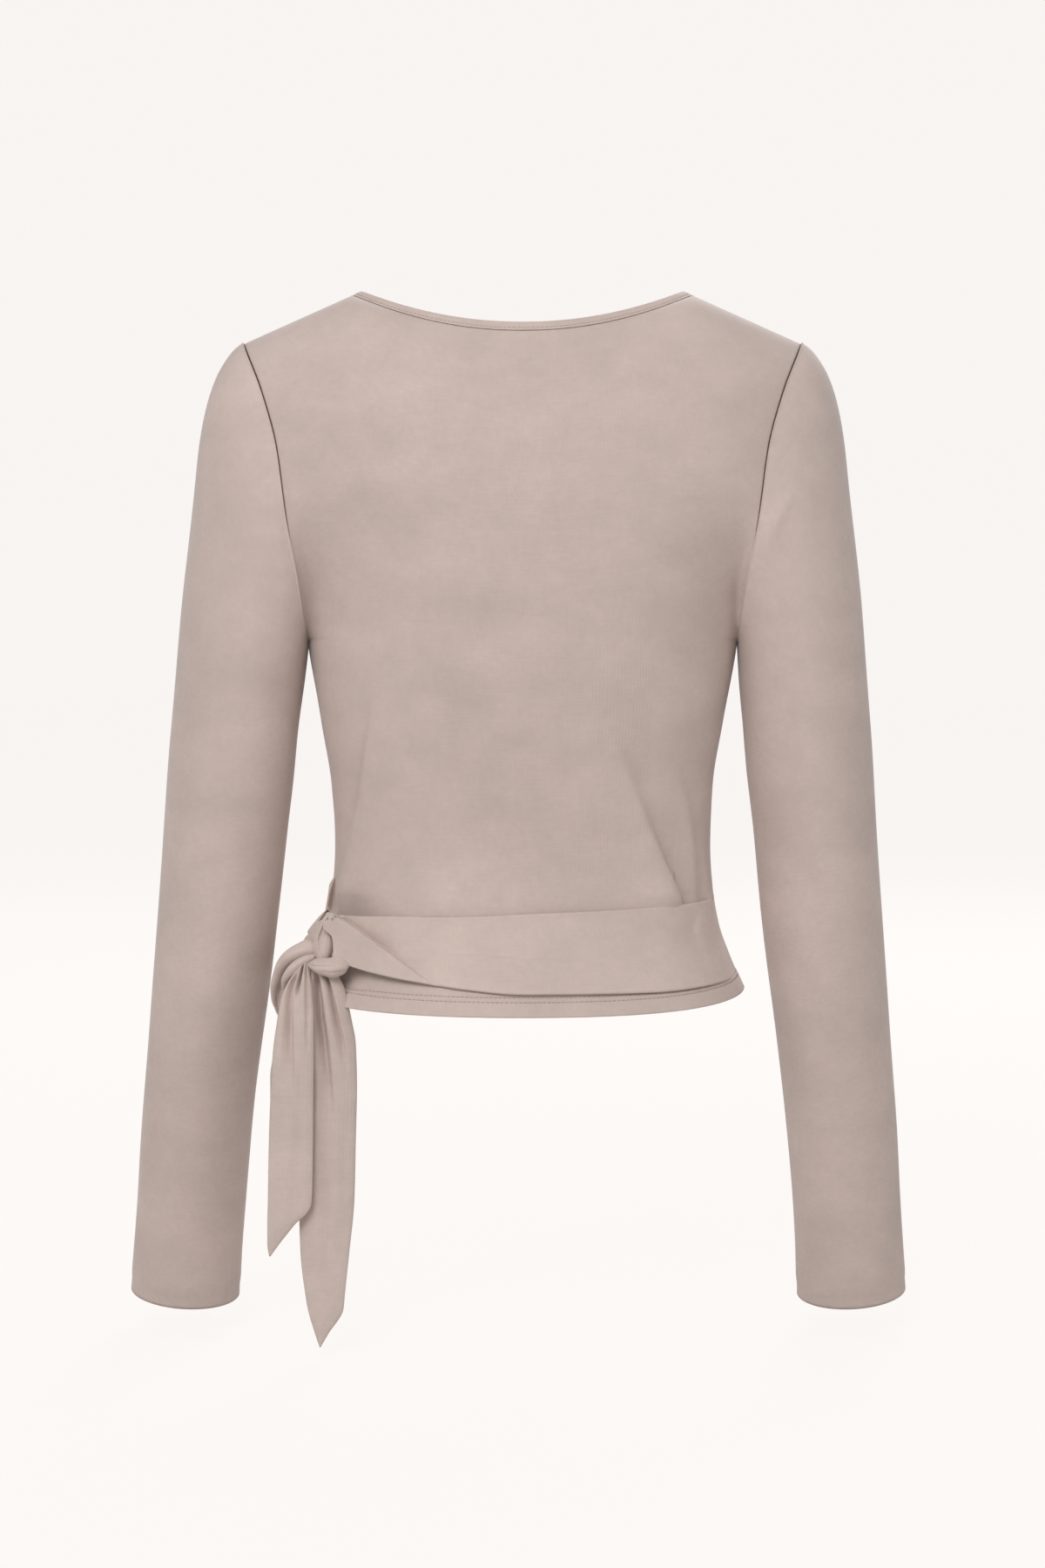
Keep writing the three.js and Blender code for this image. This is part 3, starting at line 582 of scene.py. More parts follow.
SLEEVE_CREASES = {
    "left": [
        {"x": (-170, -160, -153), "z": (-132, -160, -205), "high": (0.0, -1.6, 0.0), "left": 5, "right": 4},
        {"x": (-190, -184, -181), "z": (-330, -372, -410), "high": (0.0, 0.9, 0.0), "left": 9, "right": 14},
    ],
    "right": [
        {"x": (181, 164, 158), "z": (-130, -158, -190), "high": (0.0, -1.5, 0.0), "left": 4, "right": 5},
        {"x": (186, 190, 199), "z": (-352, -390, -436), "high": (0.0, 0.8, 0.0), "left": 13, "right": 9},
    ],
}
SLEEVE_JERSEY = jersey("sleeve_jersey", (0.56, 0.457, 0.416))


def sleeve(side, sign):
    """A sleeve: ovals from the armhole to the cuff, each between its outer and inner point.

    P = middle + reach cos(a) + depth sin(a), tilted as the arm bends forward; the first sections
    keep a share of the armhole's bow towards the body.
    """
    place = np.concatenate([np.linspace(0, 0.5, 14), np.linspace(0.5, len(SLEEVE) - 1, 230)[1:]])
    order = [{"at": i, **row} for i, row in enumerate(SLEEVE)]
    column = {key: curve(order, "at", key)(place)[:, None] for key in SLEEVE[0]}
    angle = np.linspace(0, 2 * np.pi, 97)[:-1][None, :] + np.pi
    lean = SLEEVE_LEAN[side] * (column["outer_z"] - TIP_Z) / (SLEEVE[-1]["outer_z"] - TIP_Z)
    middle_x = (column["outer_x"] + column["inner_x"]) / 2 + lean
    middle_z = (column["outer_z"] + column["inner_z"]) / 2
    reach_x = (column["outer_x"] - column["inner_x"]) / 2
    reach_z = (column["outer_z"] - column["inner_z"]) / 2
    tilt = np.arctan2(np.gradient(column["forward"][:, 0]), -np.gradient(middle_z[:, 0]))[:, None]
    start = smooth(6, 0, place)[:, None]
    narrow = np.where(np.sin(angle) < 0, 1 - start * (1 - ARMHOLE_DEPTH["front"] / ARMHOLE_DEPTH["back"]), 1)
    depth = column["depth"] * np.sin(angle) * narrow
    loop_z = (TIP_Z + UNDERARM_Z) / 2 + (TIP_Z - UNDERARM_Z) / 2 * np.cos(angle)
    straight = (TIP_X + UNDERARM_X) / 2 + (TIP_X - UNDERARM_X) / 2 * np.cos(angle)
    keep = np.interp(place, np.arange(len(BOW)), BOW)[:, None]
    x = middle_x + reach_x * np.cos(angle) + keep * (half_width_at(loop_z) - straight)
    y = column["forward"] - depth * np.cos(tilt)
    z = middle_z + reach_z * np.cos(angle) - depth * np.sin(tilt)
    flat = np.stack([sign * x, y, z], -1)
    out = unit(np.cross(np.roll(flat, -1, 1) - np.roll(flat, 1, 1), np.gradient(flat, axis=0))) * -sign
    behind = smooth(5, -10, flat[..., 1])
    crease = crease_lift(SLEEVE_CREASES[side], flat[..., 0], flat[..., 2]) * behind
    settled = smooth(0, 2.5, place)[:, None]
    beside = np.linalg.norm(flat - flat[:1], axis=-1)
    rolled = -0.42 * np.exp(-((beside / 0.75) ** 2))
    points = flat + out * ((crease + cloth_waves(flat, 0.75)) * settled + rolled)[..., None]
    up = above_hem(points[::-1])[::-1]
    points = points + out * hem_relief(up)[..., None]
    wound = points if sign < 0 else points[:, ::-1]
    name = "sleeve_" + side
    sewn_piece(name + "_cloth", wound, SLEEVE_JERSEY, round_ring=True, replaces=name)
    paths, ways = hem_lines(points, up, out)
    stitches(name + "_hem_stitches", paths, ways)


sleeve("left", -1)
sleeve("right", 1)

# ---------------------------------------------------------------------------------------------
# Neck binding
# A narrow band of the jersey, folded in two and sewn round the neck: across the back neck and
# down both slanting front edges, with one row of fine stitch beside its seam.
# ---------------------------------------------------------------------------------------------

BINDING_WIDTH = 7.0
BINDING_THICK = 1.5
BINDING_STITCH = 1.9  # its row of stitch above the seam


def bound_edge(name, feet, ups, outs, flip):
    """Part of the binding: a strip folded over the edge, its fold on top and its seam below.

    The strip runs up the outer face, round a half circle and down the inner face. Points = foot
    + up * height + out * (proud - channel), the channel lying along the row of stitches.
    """
    radius = BINDING_THICK / 2
    beside_stitch = np.linspace(1.2, 2.6, 8)
    rise = np.concatenate([np.linspace(0, 0.9, 5), beside_stitch, np.linspace(2.9, BINDING_WIDTH - 0.6, 8)])
    bend = np.linspace(0.2, 0.8, 5) * np.pi
    height = np.concatenate([rise, BINDING_WIDTH - radius + radius * np.sin(bend), rise[::-3]])
    face = np.full(len(rise), radius)
    proud = np.concatenate([face, radius * np.cos(bend), -face[::-3]])
    channel = 0.35 * np.exp(-(((rise - BINDING_STITCH) / 0.55) ** 2))
    proud[: len(rise)] -= channel - 0.3 * np.sin(np.pi * rise / BINDING_WIDTH)
    up, out = (0.3 + height)[:, None, None], (proud - 0.35)[:, None, None]
    points = feet[None] + ups[None] * up + outs[None] * out
    ordered = points[:, ::-1] if flip else points
    node = "neck_binding_" + name
    sewn_piece(node + "_cloth", ordered, BODY_JERSEY, 0.5, replaces=node)
    line = feet + ups * (0.3 + BINDING_STITCH) + outs * (radius - 0.7)
    stitches(node + "_stitches", [line], [outs])


t = np.linspace(-1, 1, 161)
bind_across = NECK_SHARE * np.sin(t * np.pi / 2)
feet = body_point("back", bind_across, np.full_like(bind_across, 2.0))
sideways = -NECK_BACK * bind_across / NECK_SHARE
forwards = NECK_X * np.sqrt(np.maximum(1 - (bind_across / NECK_SHARE) ** 2, 0))
to_neck = unit(np.stack([sideways, forwards, np.zeros_like(forwards)], -1))
lean = np.radians(58 + (24 - 58) * np.abs(bind_across / NECK_SHARE) ** 3)[:, None]
overhead = np.array([0.0, 0.0, 1.0])
ups = to_neck * np.cos(lean) + overhead * np.sin(lean)
outs = overhead * np.cos(lean) - to_neck * np.sin(lean)
bound_edge("back", feet, ups, outs, False)


def front_binding(name, sign, is_outer):
    """Binding of a front's slanting edge, in line with the cloth, out past the panel's own edge."""
    row = np.linspace(0.345, 2.0, 260)
    edge = edge_across(row)
    near = np.stack([edge + 0.012, edge, edge - 0.012])
    strip = front_surface(sign, near, np.repeat(row[None], 3, 0), is_outer)
    along = unit(np.gradient(strip[1], axis=0))
    past = unit(strip[2] - strip[0])
    past = unit(past - along * (past * along).sum(-1, keepdims=True))
    outs = unit(np.cross(along, past))
    outs = outs * np.sign(outs[:, 1:2] + 0.35 * outs[:, 2:3])
    bound_edge(name, strip[1], past, outs, sign < 0)


front_binding("right", 1, True)
front_binding("left", -1, False)

# ---------------------------------------------------------------------------------------------
# Tie
# A flat tube of the jersey about 58 mm wide. The under front's end comes out through a slit in the
# right side seam, lies across the back, folds over itself near the left hip and goes into the knot.
# ---------------------------------------------------------------------------------------------

TIE_WALL = 2.0
TIE_LIFT = 0.9
TIE_BACK = [
    {"across": -0.9, "top": -418.5, "bottom": -437, "line": 1.1},
    {"across": -0.74, "top": -416.5, "bottom": -444.6, "line": 0.99},
    {"across": -0.66, "top": -416.2, "bottom": -447.5, "line": 0.84},
    {"across": -0.5, "top": -416.2, "bottom": -454, "line": 0.5},
    {"across": -0.36, "top": -416.3, "bottom": -458.2, "line": 0.2},
    {"across": -0.26, "top": -416, "bottom": -460.8, "line": 0.0},
    {"across": -0.16, "top": -415.5, "bottom": -463.3, "line": -0.12},
    {"across": 0.0, "top": -413.8, "bottom": -466, "line": -0.2},
    {"across": 0.4, "top": -411, "bottom": -466, "line": -0.2},
    {"across": 0.75, "top": -408.5, "bottom": -462.5, "line": -0.2},
    {"across": 1.0, "top": -407, "bottom": -458, "line": -0.2},
]
# Left end of the band where it goes over the knot: across the body at each share of its height.
TIE_LEFT_END = [
    {"up": 0.0, "across": -0.715},
    {"up": 0.25, "across": -0.735},
    {"up": 0.5, "across": -0.765},
    {"up": 0.7, "across": -0.865},
    {"up": 0.86, "across": -0.875},
    {"up": 1.0, "across": -0.79},
]
TIE_TAUT = 64.5  # near the knot the band leaves the body and runs straight, this far behind the side seams
FLAP_HIGH = 6.2  # how far the folded part stands over the rest
TIE_CREASES = [
    {"x": (-62, -20, 60), "z": (-436, -441, -446), "high": (0.0, 0.5, 0.0), "left": 20, "right": 20},
    {"x": (118, 112, 122), "z": (-408, -428, -452), "high": (0.0, -1.3, 0.0), "left": 9, "right": 3},
    {"x": (136, 129, 137), "z": (-408, -432, -458), "high": (0.2, 1.3, 0.2), "left": 2.4, "right": 2.4},
    {"x": (40, 52, 60), "z": (-420, -436, -452), "high": (0.0, 0.35, 0.0), "left": 26, "right": 18},
]
TIE_JERSEY = jersey("tie_jersey", (0.575, 0.471, 0.428))


def row_at(across, z):
    """Row of the back at a height, found by halving."""
    low, high = np.zeros_like(z), np.ones_like(z)
    for _ in range(26):
        middle = (low + high) / 2
        below = body_point("back", across, middle)[..., 2] < z
        low, high = np.where(below, middle, low), np.where(below, high, middle)
    return low


def tie_across_back():
    """The tie on the back, edge to edge: the body's form moved out, then held straight towards the knot.

    Left of its middle the part below a slanting line is folded over the rest, so it stands higher, with a
    sharp edge along the line and a hollow under that edge.
    """
    t = np.linspace(0, 1, 230)[None, :]
    near_edge = np.linspace(0, 0.05, 6)
    s = np.concatenate([near_edge, np.linspace(0.06, 0.94, 88), 0.95 + near_edge])[:, None]
    left = curve(TIE_LEFT_END, "up", "across")(s)
    across = left + (0.999 - left) * t
    s = np.broadcast_to(s, across.shape)
    top, bottom = (curve(TIE_BACK, "across", key)(across) for key in ("top", "bottom"))
    z = bottom + (top - bottom) * s
    flat = body_point("back", across, row_at(across, z))
    out = surface_out(flat)
    away = s - curve(TIE_BACK, "across", "line")(across)
    fades = smooth(-0.2, -0.52, across)
    flap = FLAP_HIGH * fades * smooth(0.014, -0.014, away) * (1 - 0.35 * smooth(-0.1, -0.8, away))
    hollow = -3.2 * fades * np.exp(-np.maximum(away, 0) / 0.1) * smooth(-0.014, 0.014, away)
    edges = 0.25 * np.exp(-((s / 0.04) ** 2)) + 0.3 * np.exp(-(((1 - s) / 0.035) ** 2))
    rounded = -1.0 * (np.exp(-((s / 0.012) ** 2)) + np.exp(-(((1 - s) / 0.012) ** 2)))
    crease = crease_lift(TIE_CREASES, flat[..., 0], flat[..., 2])
    under = np.maximum(crease_lift(BACK_CREASES, flat[..., 0], flat[..., 2]), 0) * 0.12
    rise = TIE_WALL + TIE_LIFT + edges + rounded + crease + under + cloth_waves(flat, 0.5)
    rise = rise * (1 - 0.93 * smooth(0.6, 0.985, across))
    points = flat + out * rise[..., None]
    pulled = soft_max(-points[..., 1], TIE_TAUT - 3 * smooth(-0.86, -0.9, across), 5)
    taut = smooth(-0.3, -0.5, across)
    points[..., 1] = -(-points[..., 1] * (1 - taut) + pulled * taut)
    points = points + np.array([0.0, -1.0, 0.1]) * (flap + hollow)[..., None]
    sewn_piece("tie_across_back_cloth", points, TIE_JERSEY, TIE_WALL)


tie_across_back()


def front_turning():
    """End of the outer front carried round the side seam on to the back, as far as its tie.

    Each line across is a bow of three points: the front's end, a point beside the seam, and the back's
    surface a little way in; it grows from nothing at the top.
    """
    z = np.linspace(-384, -447, 64)[:, None]
    row = np.repeat(row_at(np.full_like(z, -1.0), z), 3, 1)
    start = front_surface(1, row * 0 + (-0.998, -0.99, -0.98), row, True)[:, :1]
    landing = back_surface(row * 0 + (-0.965, -0.955, -0.945), row, lift=0.7)[:, 1:2]
    grown = smooth(-384, -405, z)[..., None]
    landing = start * (1 - grown) + landing * grown + np.array([0.0, -0.3, 0.0]) * (1 - grown)
    beside = np.stack([start[..., 0] - 0.4 - 1.2 * grown[..., 0], np.full_like(z, -2.0), z], -1)
    t = np.linspace(0, 1, 20)[None, :, None]
    points = start * (1 - t) ** 2 + beside * 2 * t * (1 - t) + landing * t**2
    name = "front_right_end_cloth"
    sewn_piece(name, points, BODY_JERSEY, replaces="front_right")


front_turning()

# ---------------------------------------------------------------------------------------------
# Knot and free ends
# The outer front's tie and the tie from the back cross, wrap once and pull tight at the left hip.
# Two ends hang free, creased lengthwise where the knot gathers them, each cut on a slant.
# ---------------------------------------------------------------------------------------------

# Each band runs along rows that give its two edges (x, y, z), how far it bulges, and its thickness.
# A pleat runs along the band: where it lies from one edge (-1) to the other (1) at its start, middle and
# end, from which share of the length to which, how deep it is, and how wide to its left and right.
BANDS = [
    {
        "node": "tie_from_front",
        "rows": [
            ((-143.2, 3, -449), (-130.4, 3, -414.5), 0.6, 2.4),
            ((-144.6, -12, -449), (-132.2, -12, -416), 1.4, 3),
            ((-145.6, -27, -448.5), (-134.6, -27, -418.5), 2.2, 4),
            ((-145.5, -41, -447.5), (-137.4, -40, -422.4), 2.4, 5),
            ((-142, -51, -446), (-133.6, -50, -419.6), 2.0, 5),
            ((-136, -57, -445), (-128.6, -56, -417), 1.0, 4),
        ],
        "pleats": [
            {"at": (0.3, 0.35, 0.3), "span": (0.25, 1), "deep": 1.7, "left": 0.18, "right": 0.06},
            {"at": (-0.4, -0.25, -0.2), "span": (0.2, 1), "deep": 1.5, "left": 0.16, "right": 0.06},
        ],
    },
    {
        "node": "knot_wrap_up",
        "rows": [
            ((-130.4, -53, -414.6), (-121.5, -54.5, -417.5), 0.8, 4),
            ((-133.4, -57, -419), (-123.5, -58, -422.5), 2.0, 5),
            ((-136.4, -59, -424), (-124.3, -60, -427.5), 3.2, 6),
            ((-138.6, -59.5, -430.5), (-124.2, -61, -432), 4.0, 7),
            ((-138.9, -60, -436.5), (-124.6, -61.5, -436.5), 4.0, 7),
            ((-137.6, -60.5, -442), (-126.6, -62, -442), 3.2, 6),
            ((-135.5, -60, -448), (-129, -61.5, -448), 1.5, 5),
        ],
        "pleats": [
            {"at": (-0.28, -0.42, -0.1), "span": (0.1, 1), "deep": 2.8, "left": 0.07, "right": 0.26},
            {"at": (0.2, 0.12, 0.3), "span": (0.3, 1), "deep": 1.1, "left": 0.16, "right": 0.08},
            {"at": (-0.85, -0.8, -0.72), "span": (0.3, 1), "deep": 1.2, "left": 0.12, "right": 0.1},
        ],
    },
    {
        "node": "knot_wrap_up",
        "rows": [
            ((-123.2, -60.5, -434.5), (-121.4, -61.5, -434), 0.3, 2.5),
            ((-124.6, -61.2, -438), (-120.8, -62.5, -438), 0.8, 3.2),
            ((-126.8, -61.5, -442.2), (-120.6, -63, -442.2), 1.2, 3.5),
            ((-126.8, -61, -446), (-121, -62.5, -446), 1.0, 3),
        ],
        "pleats": [],
    },
    {
        "node": "knot_wrap_over",
        "rows": [
            ((-141.2, -61.5, -448.8), (-140.8, -61.5, -446.9), 0.3, 2.5),
            ((-138.8, -64, -450.8), (-138.6, -64, -445.2), 2.2, 5),
            ((-135.6, -66, -453), (-135.4, -66, -443.2), 4.0, 8),
            ((-131.4, -67.5, -455), (-131.8, -67.5, -443), 5.2, 9),
            ((-126.4, -67.5, -456.5), (-127.4, -67.5, -442.8), 5.4, 9),
            ((-122.6, -66, -455.6), (-123.4, -66.5, -442), 5.0, 8.5),
            ((-120.4, -61.5, -452.2), (-121, -63, -443.4), 3.2, 6),
            ((-119.4, -53.5, -449.6), (-119.6, -55.5, -445.6), 1.0, 4),
        ],
        "pleats": [
            {"at": (0.1, 0.25, 0.4), "span": (0.12, 0.75), "deep": 0.9, "left": 0.3, "right": 0.09},
            {"at": (-0.3, -0.35, -0.1), "span": (0.3, 1), "deep": 0.8, "left": 0.24, "right": 0.1},
        ],
    },
    {
        "node": "knot_loop",
        "rows": [
            ((-136.5, -57.5, -442.5), (-136.5, -57.5, -433.6), 1.2, 5),
            ((-143.6, -58, -443.4), (-142.5, -56.8, -431.6), 3.0, 5.5),
            ((-149.6, -57.5, -445.8), (-148.4, -55.6, -434.2), 3.6, 5.5),
            ((-155.2, -56.2, -449.6), (-154.6, -54, -438.2), 3.8, 5.5),
            ((-158.6, -54.5, -453.4), (-159.7, -52.2, -443.6), 3.6, 5),
            ((-161.4, -52, -459.8), (-163.9, -50.4, -451.8), 3.0, 4.5),
            ((-164.0, -49.5, -467.5), (-166.9, -48.6, -461), 2.0, 4),
            ((-164.4, -47.5, -474.5), (-167.5, -47, -470), 1.4, 3.4),
            ((-162.0, -46.5, -483), (-165.2, -46.4, -480), 1.0, 3),
            ((-157, -46.5, -494), (-161.2, -46.4, -491), 1.0, 2.6),
            ((-156, -47.5, -524), (-168.6, -48, -524), 1.2, 2.4),
            ((-159, -49, -549), (-168.4, -49.4, -549), 0.8, 2.2),
        ],
        "pleats": [
            {"at": (0.1, 0.2, 0.3), "span": (0.02, 0.5), "deep": 0.9, "left": 0.25, "right": 0.25},
        ],
    },
    {
        "node": "knot_loop",
        "rows": [
            ((-138, -60, -446.2), (-137.8, -59, -440.6), 0.6, 3.5),
            ((-144.2, -61.2, -449), (-144.6, -60, -442.2), 2.0, 4.2),
            ((-149.4, -61, -453.6), (-151, -59.4, -445.4), 2.8, 4.6),
            ((-153.6, -59.6, -457.6), (-156.2, -57.4, -451.6), 2.6, 4.4),
            ((-156.4, -57.5, -461.5), (-158.9, -55.6, -458), 1.8, 3.8),
            ((-157.4, -55, -466.5), (-159.2, -54, -464.8), 0.8, 3),
            ((-156.8, -52.5, -472), (-158.2, -52.5, -471.6), 0.3, 2.4),
        ],
        "pleats": [],
    },
    {
        "node": "knot_loop",
        "rows": [
            ((-146, -48, -449), (-158.5, -46, -449), 0.5, 2),
            ((-147, -46.5, -460), (-163, -44.5, -460), 0.5, 2),
            ((-148, -45.5, -474), (-164.8, -43.5, -474), 0.5, 2),
            ((-149, -46, -486), (-162, -44.5, -485), 0.5, 2),
            ((-150, -47, -494), (-159, -46, -493), 0.3, 1.6),
        ],
        "pleats": [],
    },
    {
        "node": "tie_end_short",
        "rows": [
            ((-147.5, -60.5, -446.5), (-142.2, -61, -445.8), 0.8, 4),
            ((-152.4, -61.8, -455), (-140.8, -63, -453.5), 2.6, 5),
            ((-157.4, -63, -463.4), (-139.4, -65, -462), 3.4, 5),
            ((-160.6, -64.5, -473), (-138.6, -67, -472), 3.6, 4.6),
            ((-163, -66, -487), (-138.2, -68, -487), 3.2, 4),
            ((-165.6, -67, -507), (-138.2, -68, -507), 2.8, 3.4),
            ((-167.4, -67.5, -540), (-138.6, -68, -540), 2.2, 3),
            ((-168.6, -67.5, -575), (-139, -68, -575), 1.8, 2.6),
            ((-169.2, -67.5, -606), (-139.9, -68, -606), 1.5, 2.4),
            ((-169.6, -67.5, -622), (-152.2, -68, -622), 1.0, 2.2),
            ((-169.6, -67.8, -634), (-161.6, -68, -634), 0.5, 2),
            ((-168.4, -68, -642), (-167.4, -68, -642), 0.1, 1.6),
        ],
        "pleats": [
            {"at": (0.12, 0.1, 0.08), "span": (0.0, 0.15), "deep": 8, "left": 0.13, "right": 0.1},
            {"at": (-0.4, -0.12, 0.12), "span": (0.02, 0.5), "deep": 7.5, "left": 0.42, "right": 0.08},
            {"at": (0.62, 0.68, 0.7), "span": (0.0, 0.34), "deep": 2.6, "left": 0.08, "right": 0.12},
            {"at": (-0.5, -0.62, -0.6), "span": (0.3, 1.0), "deep": 0.7, "left": 0.3, "right": 0.3},
            {"at": (0.4, 0.3, 0.2), "span": (0.35, 0.95), "deep": 0.9, "left": 0.25, "right": 0.35},
        ],
    },
    {
        "node": "tie_end_long",
        "rows": [
            ((-140.5, -59, -449), (-126.5, -60.5, -450.5), 1.0, 4),
            ((-141, -60, -455.5), (-122, -60.5, -456), 2.8, 5),
            ((-141.8, -60.5, -464), (-118.4, -60, -463.4), 4.0, 5),
            ((-142.8, -60.5, -474.5), (-115.9, -58.5, -474), 4.2, 4.6),
            ((-144, -60, -487), (-113.3, -57.5, -487), 4.0, 4),
            ((-145, -59.5, -502), (-110.9, -57, -502), 3.6, 3.6),
            ((-146.4, -59, -530), (-110.2, -57, -530), 3.0, 3),
            ((-148, -58.5, -565), (-111, -57.5, -565), 2.6, 2.8),
            ((-149, -58, -605), (-112, -58, -605), 2.2, 2.6),
            ((-148.2, -58, -640), (-115.4, -58, -640), 1.8, 2.4),
            ((-145.2, -58, -668), (-118.4, -58, -668), 1.4, 2.2),
            ((-143.2, -58, -680), (-119.6, -58, -680), 1.2, 2.2),
            ((-138.6, -58, -696), (-129.6, -58, -696), 0.6, 2),
            ((-135.6, -58, -705), (-134.8, -58, -705), 0.1, 1.6),
        ],
        "pleats": [
            {"at": (-0.46, -0.14, 0.2), "span": (0.0, 0.42), "deep": 11, "left": 0.32, "right": 0.06},
            {"at": (0.18, 0.42, 0.72), "span": (0.0, 0.3), "deep": 7, "left": 0.2, "right": 0.035},
            {"at": (-0.2, 0.1, 0.1), "span": (0.3, 0.95), "deep": 1.1, "left": 0.35, "right": 0.25},
            {"at": (0.6, 0.62, 0.5), "span": (0.38, 0.9), "deep": 0.7, "left": 0.2, "right": 0.2},
        ],
    },
]


def pleat_depth(pleats, share, w):
    """How deep the pleats cut: for each a bell across the band, wider on one side, eased in and out."""
    total = np.zeros_like(share * w)
    for pleat in pleats:
        start, end = pleat["span"]
        length = np.clip((share - start) / (end - start), 0, 1)
        line = np.interp(length, (0, 0.5, 1), pleat["at"])
        ease = smooth(-0.02, 0.12, length) * smooth(1, 0.35, length)
        beside = w - line
        spread = np.where(beside < 0, pleat["left"], pleat["right"])
        total += pleat["deep"] * ease * np.exp(-((beside / spread) ** 2))
    return total


def band(spec, along_count=96, around_count=112):
    """A folded band between two edges: a flat oval carried along them, bulged out and cut by its pleats.

    Around the oval w = cos(a) runs from edge to edge and sin(a) through the cloth. Point = middle
    + w * half of the way from left to right + out * (bulge * (1 - w^2)^0.7 - pleats + thickness).
    """
    rows = [
        {"at": i, **dict(enumerate([*left, *right, bulge, thick]))}
        for i, (left, right, bulge, thick) in enumerate(spec["rows"])
    ]
    place = np.linspace(0, len(rows) - 1, along_count)
    columns = np.stack([curve(rows, "at", k)(place) for k in range(8)], -1)
    left, right, bulge, thick = columns[:, :3], columns[:, 3:6], columns[:, 6:7], columns[:, 7:]
    middle, half = (left + right) / 2, (right - left) / 2
    run = np.concatenate([[0], np.cumsum(np.linalg.norm(np.diff(middle, axis=0), axis=1))])
    share = (run / run[-1])[:, None]
    out = unit(np.cross(unit(half), unit(np.gradient(middle, axis=0))))
    out = out * np.where(out[:, 1:2] + 0.5 * out[:, :1] > 0, -1, 1)
    w_line = np.linspace(-1, 1, around_count // 2 + 1)
    front_w = np.sin(w_line * np.pi / 2) * 0.35 + w_line * 0.65
    w = np.concatenate([front_w, front_w[-2:0:-1]])[None, :]
    front = np.concatenate([np.ones(len(front_w)), -np.ones(len(front_w) - 2)])[None, :]
    wall = np.maximum(1 - w * w, 0) ** 0.42 * front
    cut = pleat_depth(spec["pleats"], share, w) * np.where(front > 0, 1, 0.8)
    crown = bulge * np.maximum(1 - w * w, 0) ** 0.7
    rise = crown - cut * np.maximum(1 - w**8, 0) + thick / 2 * wall
    points = middle[:, None] + half[:, None] * w[..., None] + out[:, None] * rise[..., None]
    first, last = points[:1].mean(1, keepdims=True), points[-1:].mean(1, keepdims=True)
    return np.concatenate([first + (points[:1] - first) * 0.02, points, last + (points[-1:] - last) * 0.02])


LEAST_CUT = 0.0101  # metres


def knot_piece(node, number, spec):
    """One stretch of the knot or a free end, with its body and flat size."""
    points = band(spec)
    middle_face = surface_out(points)[len(points) // 2, points.shape[1] // 4]
    turned = points[:, ::-1] if middle_face[1] > 0 else points
    width, length, area = cut_size(points)
    name = f"{node}_cloth_{number}" if number else f"{node}_cloth"
    flat = (max(width / 2, LEAST_CUT), max(length, LEAST_CUT))
    piece = grid_mesh(name, turned, flat, round_ring=True)
    piece.data.materials.append(TIE_JERSEY)
    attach(piece, "root")
    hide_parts(node)


for place_in_table, spec in enumerate(BANDS):
    number = sum(other["node"] == spec["node"] for other in BANDS[:place_in_table])
    knot_piece(spec["node"], number, spec)

# ---------------------------------------------------------------------------------------------
# Studio
# A white floor that curves up into a low wall all round. A broad light stands before the garment, high
# and a little to the left, with a softer one on each side. The same three stand behind it, and one hangs
# above. A long lens looks down a little, towards the waist.
# ---------------------------------------------------------------------------------------------

FLOOR_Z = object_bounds()[0][2] - 0.008
GARMENT_MIDDLE = (0, 0, -0.35)
FLOOR_GREY = (0.62, 0.605, 0.59)  # what the floor throws back on to the cloth
FLOOR_FAINT = (0.06, 0.059, 0.058)  # how much of a shadow the lens sees on it
GLOW = 0.965
profile = [(0.0, 0.0), (2.0, 0.0), (5.0, 0.0), (7.0, 0.2), (8.6, 0.9), (9.5, 1.9), (9.8, 3.0)]
radius = np.interp(np.linspace(0, 6, 61), range(7), [p[0] for p in profile])[:, None]
height = np.interp(np.linspace(0, 6, 61), range(7), [p[1] for p in profile])[:, None]
around = np.linspace(0, 2 * np.pi, 129)[:-1][None, :]
bowl = np.stack([radius * np.cos(around), radius * np.sin(around), FLOOR_Z + height + 0 * around], -1)
backdrop = grid_mesh("studio_floor", bowl / MM, (1, 1), round_ring=True)
WALL_WHITE = (0.955, 0.92, 0.895)
floor_paint = bpy.data.materials.new("floor_paint")
floor_paint.use_nodes = True
paint = floor_paint.node_tree.nodes["Principled BSDF"]
paint.inputs["Base Color"].default_value = (*FLOOR_GREY, 1)
paint.inputs["Roughness"].default_value = 1
paint.inputs["Specular IOR Level"].default_value = 0
glow = floor_paint.node_tree.nodes.new("ShaderNodeEmission")
glow.inputs["Color"].default_value = (*WALL_WHITE, 1)
glow.inputs["Strength"].default_value = GLOW
faint = floor_paint.node_tree.nodes.new("ShaderNodeBsdfDiffuse")
faint.inputs["Color"].default_value = (*FLOOR_FAINT, 1)
seen = floor_paint.node_tree.nodes.new("ShaderNodeLightPath")
both = floor_paint.node_tree.nodes.new("ShaderNodeAddShader")
choose = floor_paint.node_tree.nodes.new("ShaderNodeMixShader")
floor_links = floor_paint.node_tree.links
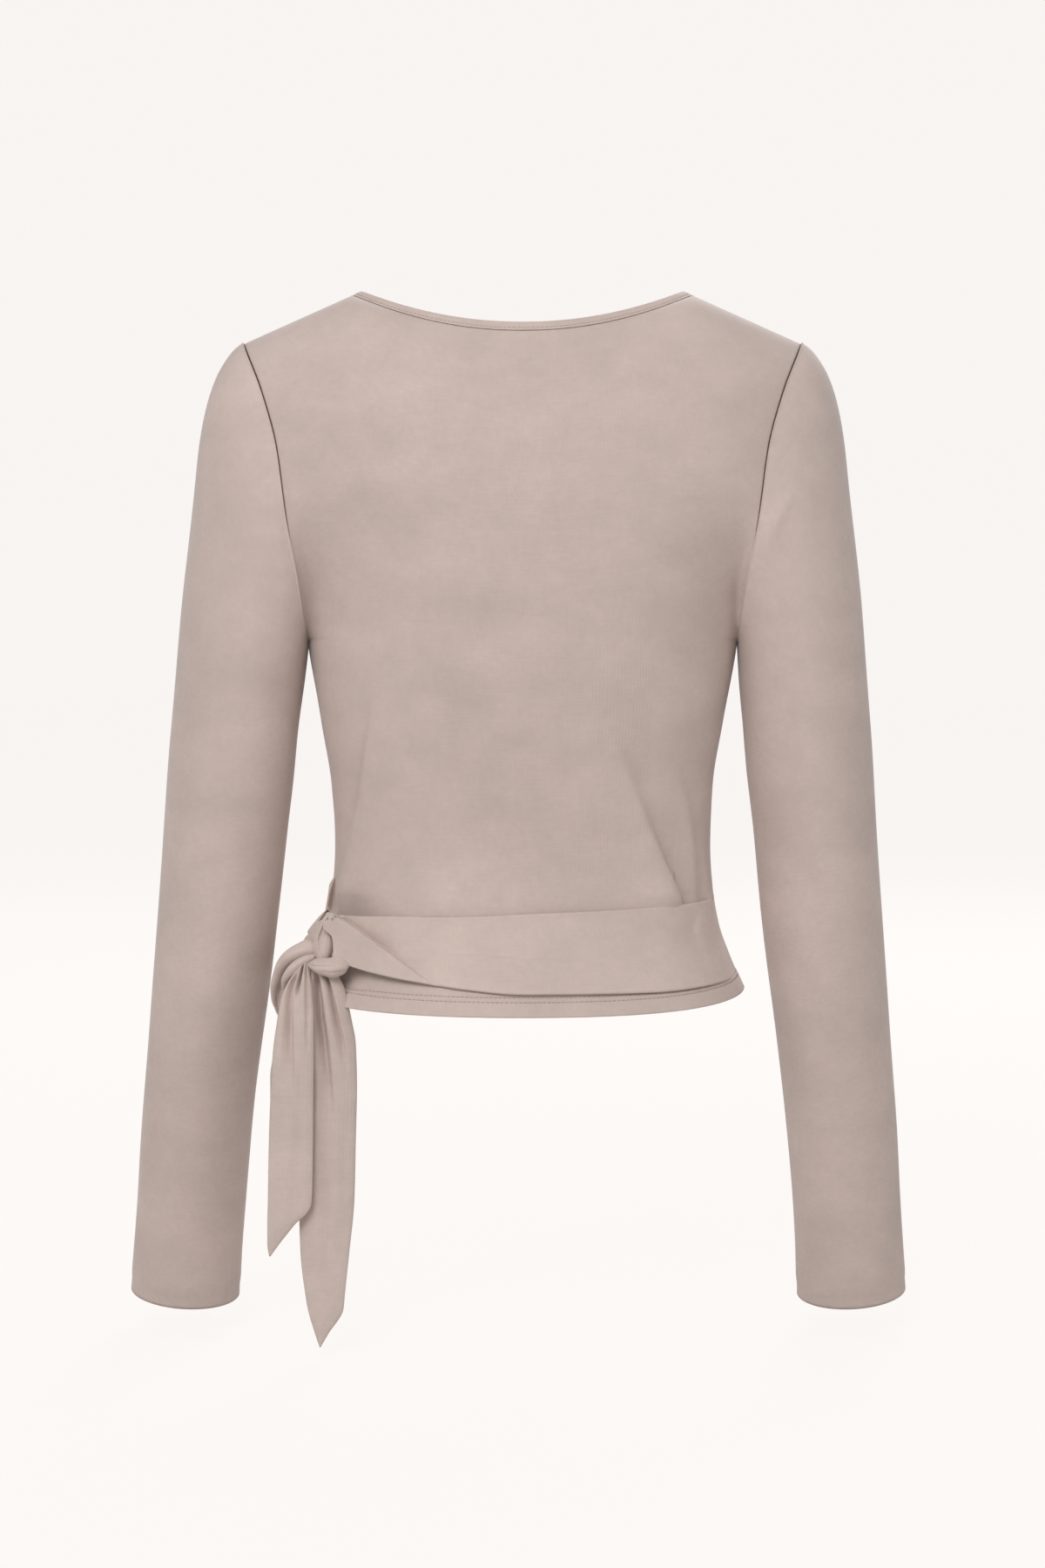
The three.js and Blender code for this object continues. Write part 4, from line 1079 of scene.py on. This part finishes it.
floor_links.new(faint.outputs["BSDF"], both.inputs[0])
floor_links.new(glow.outputs["Emission"], both.inputs[1])
floor_links.new(seen.outputs["Is Camera Ray"], choose.inputs["Fac"])
floor_links.new(paint.outputs["BSDF"], choose.inputs[1])
floor_links.new(both.outputs["Shader"], choose.inputs[2])
floor_links.new(choose.outputs["Shader"], floor_paint.node_tree.nodes["Material Output"].inputs["Surface"])
backdrop.data.materials.append(floor_paint)

world = bpy.data.worlds.new("studio")
world.use_nodes = True
world.node_tree.nodes["Background"].inputs["Color"].default_value = (1.0, 0.985, 0.97, 1)
world.node_tree.nodes["Background"].inputs["Strength"].default_value = 0.35
bpy.context.scene.world = world
bpy.context.scene.view_settings.view_transform = "Standard"


def soft_light(name, place, size, power):
    """A square soft light at a place, turned to the middle of the garment."""
    lamp = bpy.data.lights.new(name, "AREA")
    lamp.size = size
    lamp.energy = power
    holder = bpy.data.objects.new(name, lamp)
    holder.location = place
    way = mathutils.Vector(GARMENT_MIDDLE) - mathutils.Vector(place)
    holder.rotation_euler = way.to_track_quat("-Z", "Y").to_euler()
    bpy.context.scene.collection.objects.link(holder)


for side, across in (("", -1), ("far_", 1)):
    soft_light(side + "key_light", (0.7 * across, 3.1 * across, 1.7), 1.5, 69)
    soft_light(side + "left_light", (2.5 * across, 2.3 * across, 0.7), 1.6, 14)
    soft_light(side + "right_light", (-2.5 * across, 2.3 * across, 0.5), 1.6, 12)
soft_light("top_light", (0.1, 0.1, 2.3), 1.6, 8)

CAMERA_TILT = np.radians(3.2)
camera_data = bpy.data.cameras.new("camera")
camera_data.sensor_fit = "VERTICAL"
camera_data.sensor_height = 36
camera_data.lens = 90
camera = bpy.data.objects.new("camera", camera_data)
distance, look_height = 2.655, -0.3316
camera.location = (0, -distance * np.cos(CAMERA_TILT), look_height + distance * np.sin(CAMERA_TILT))
camera.rotation_euler = (np.pi / 2 - CAMERA_TILT, 0, 0)
bpy.context.scene.collection.objects.link(camera)
bpy.context.scene.camera = camera
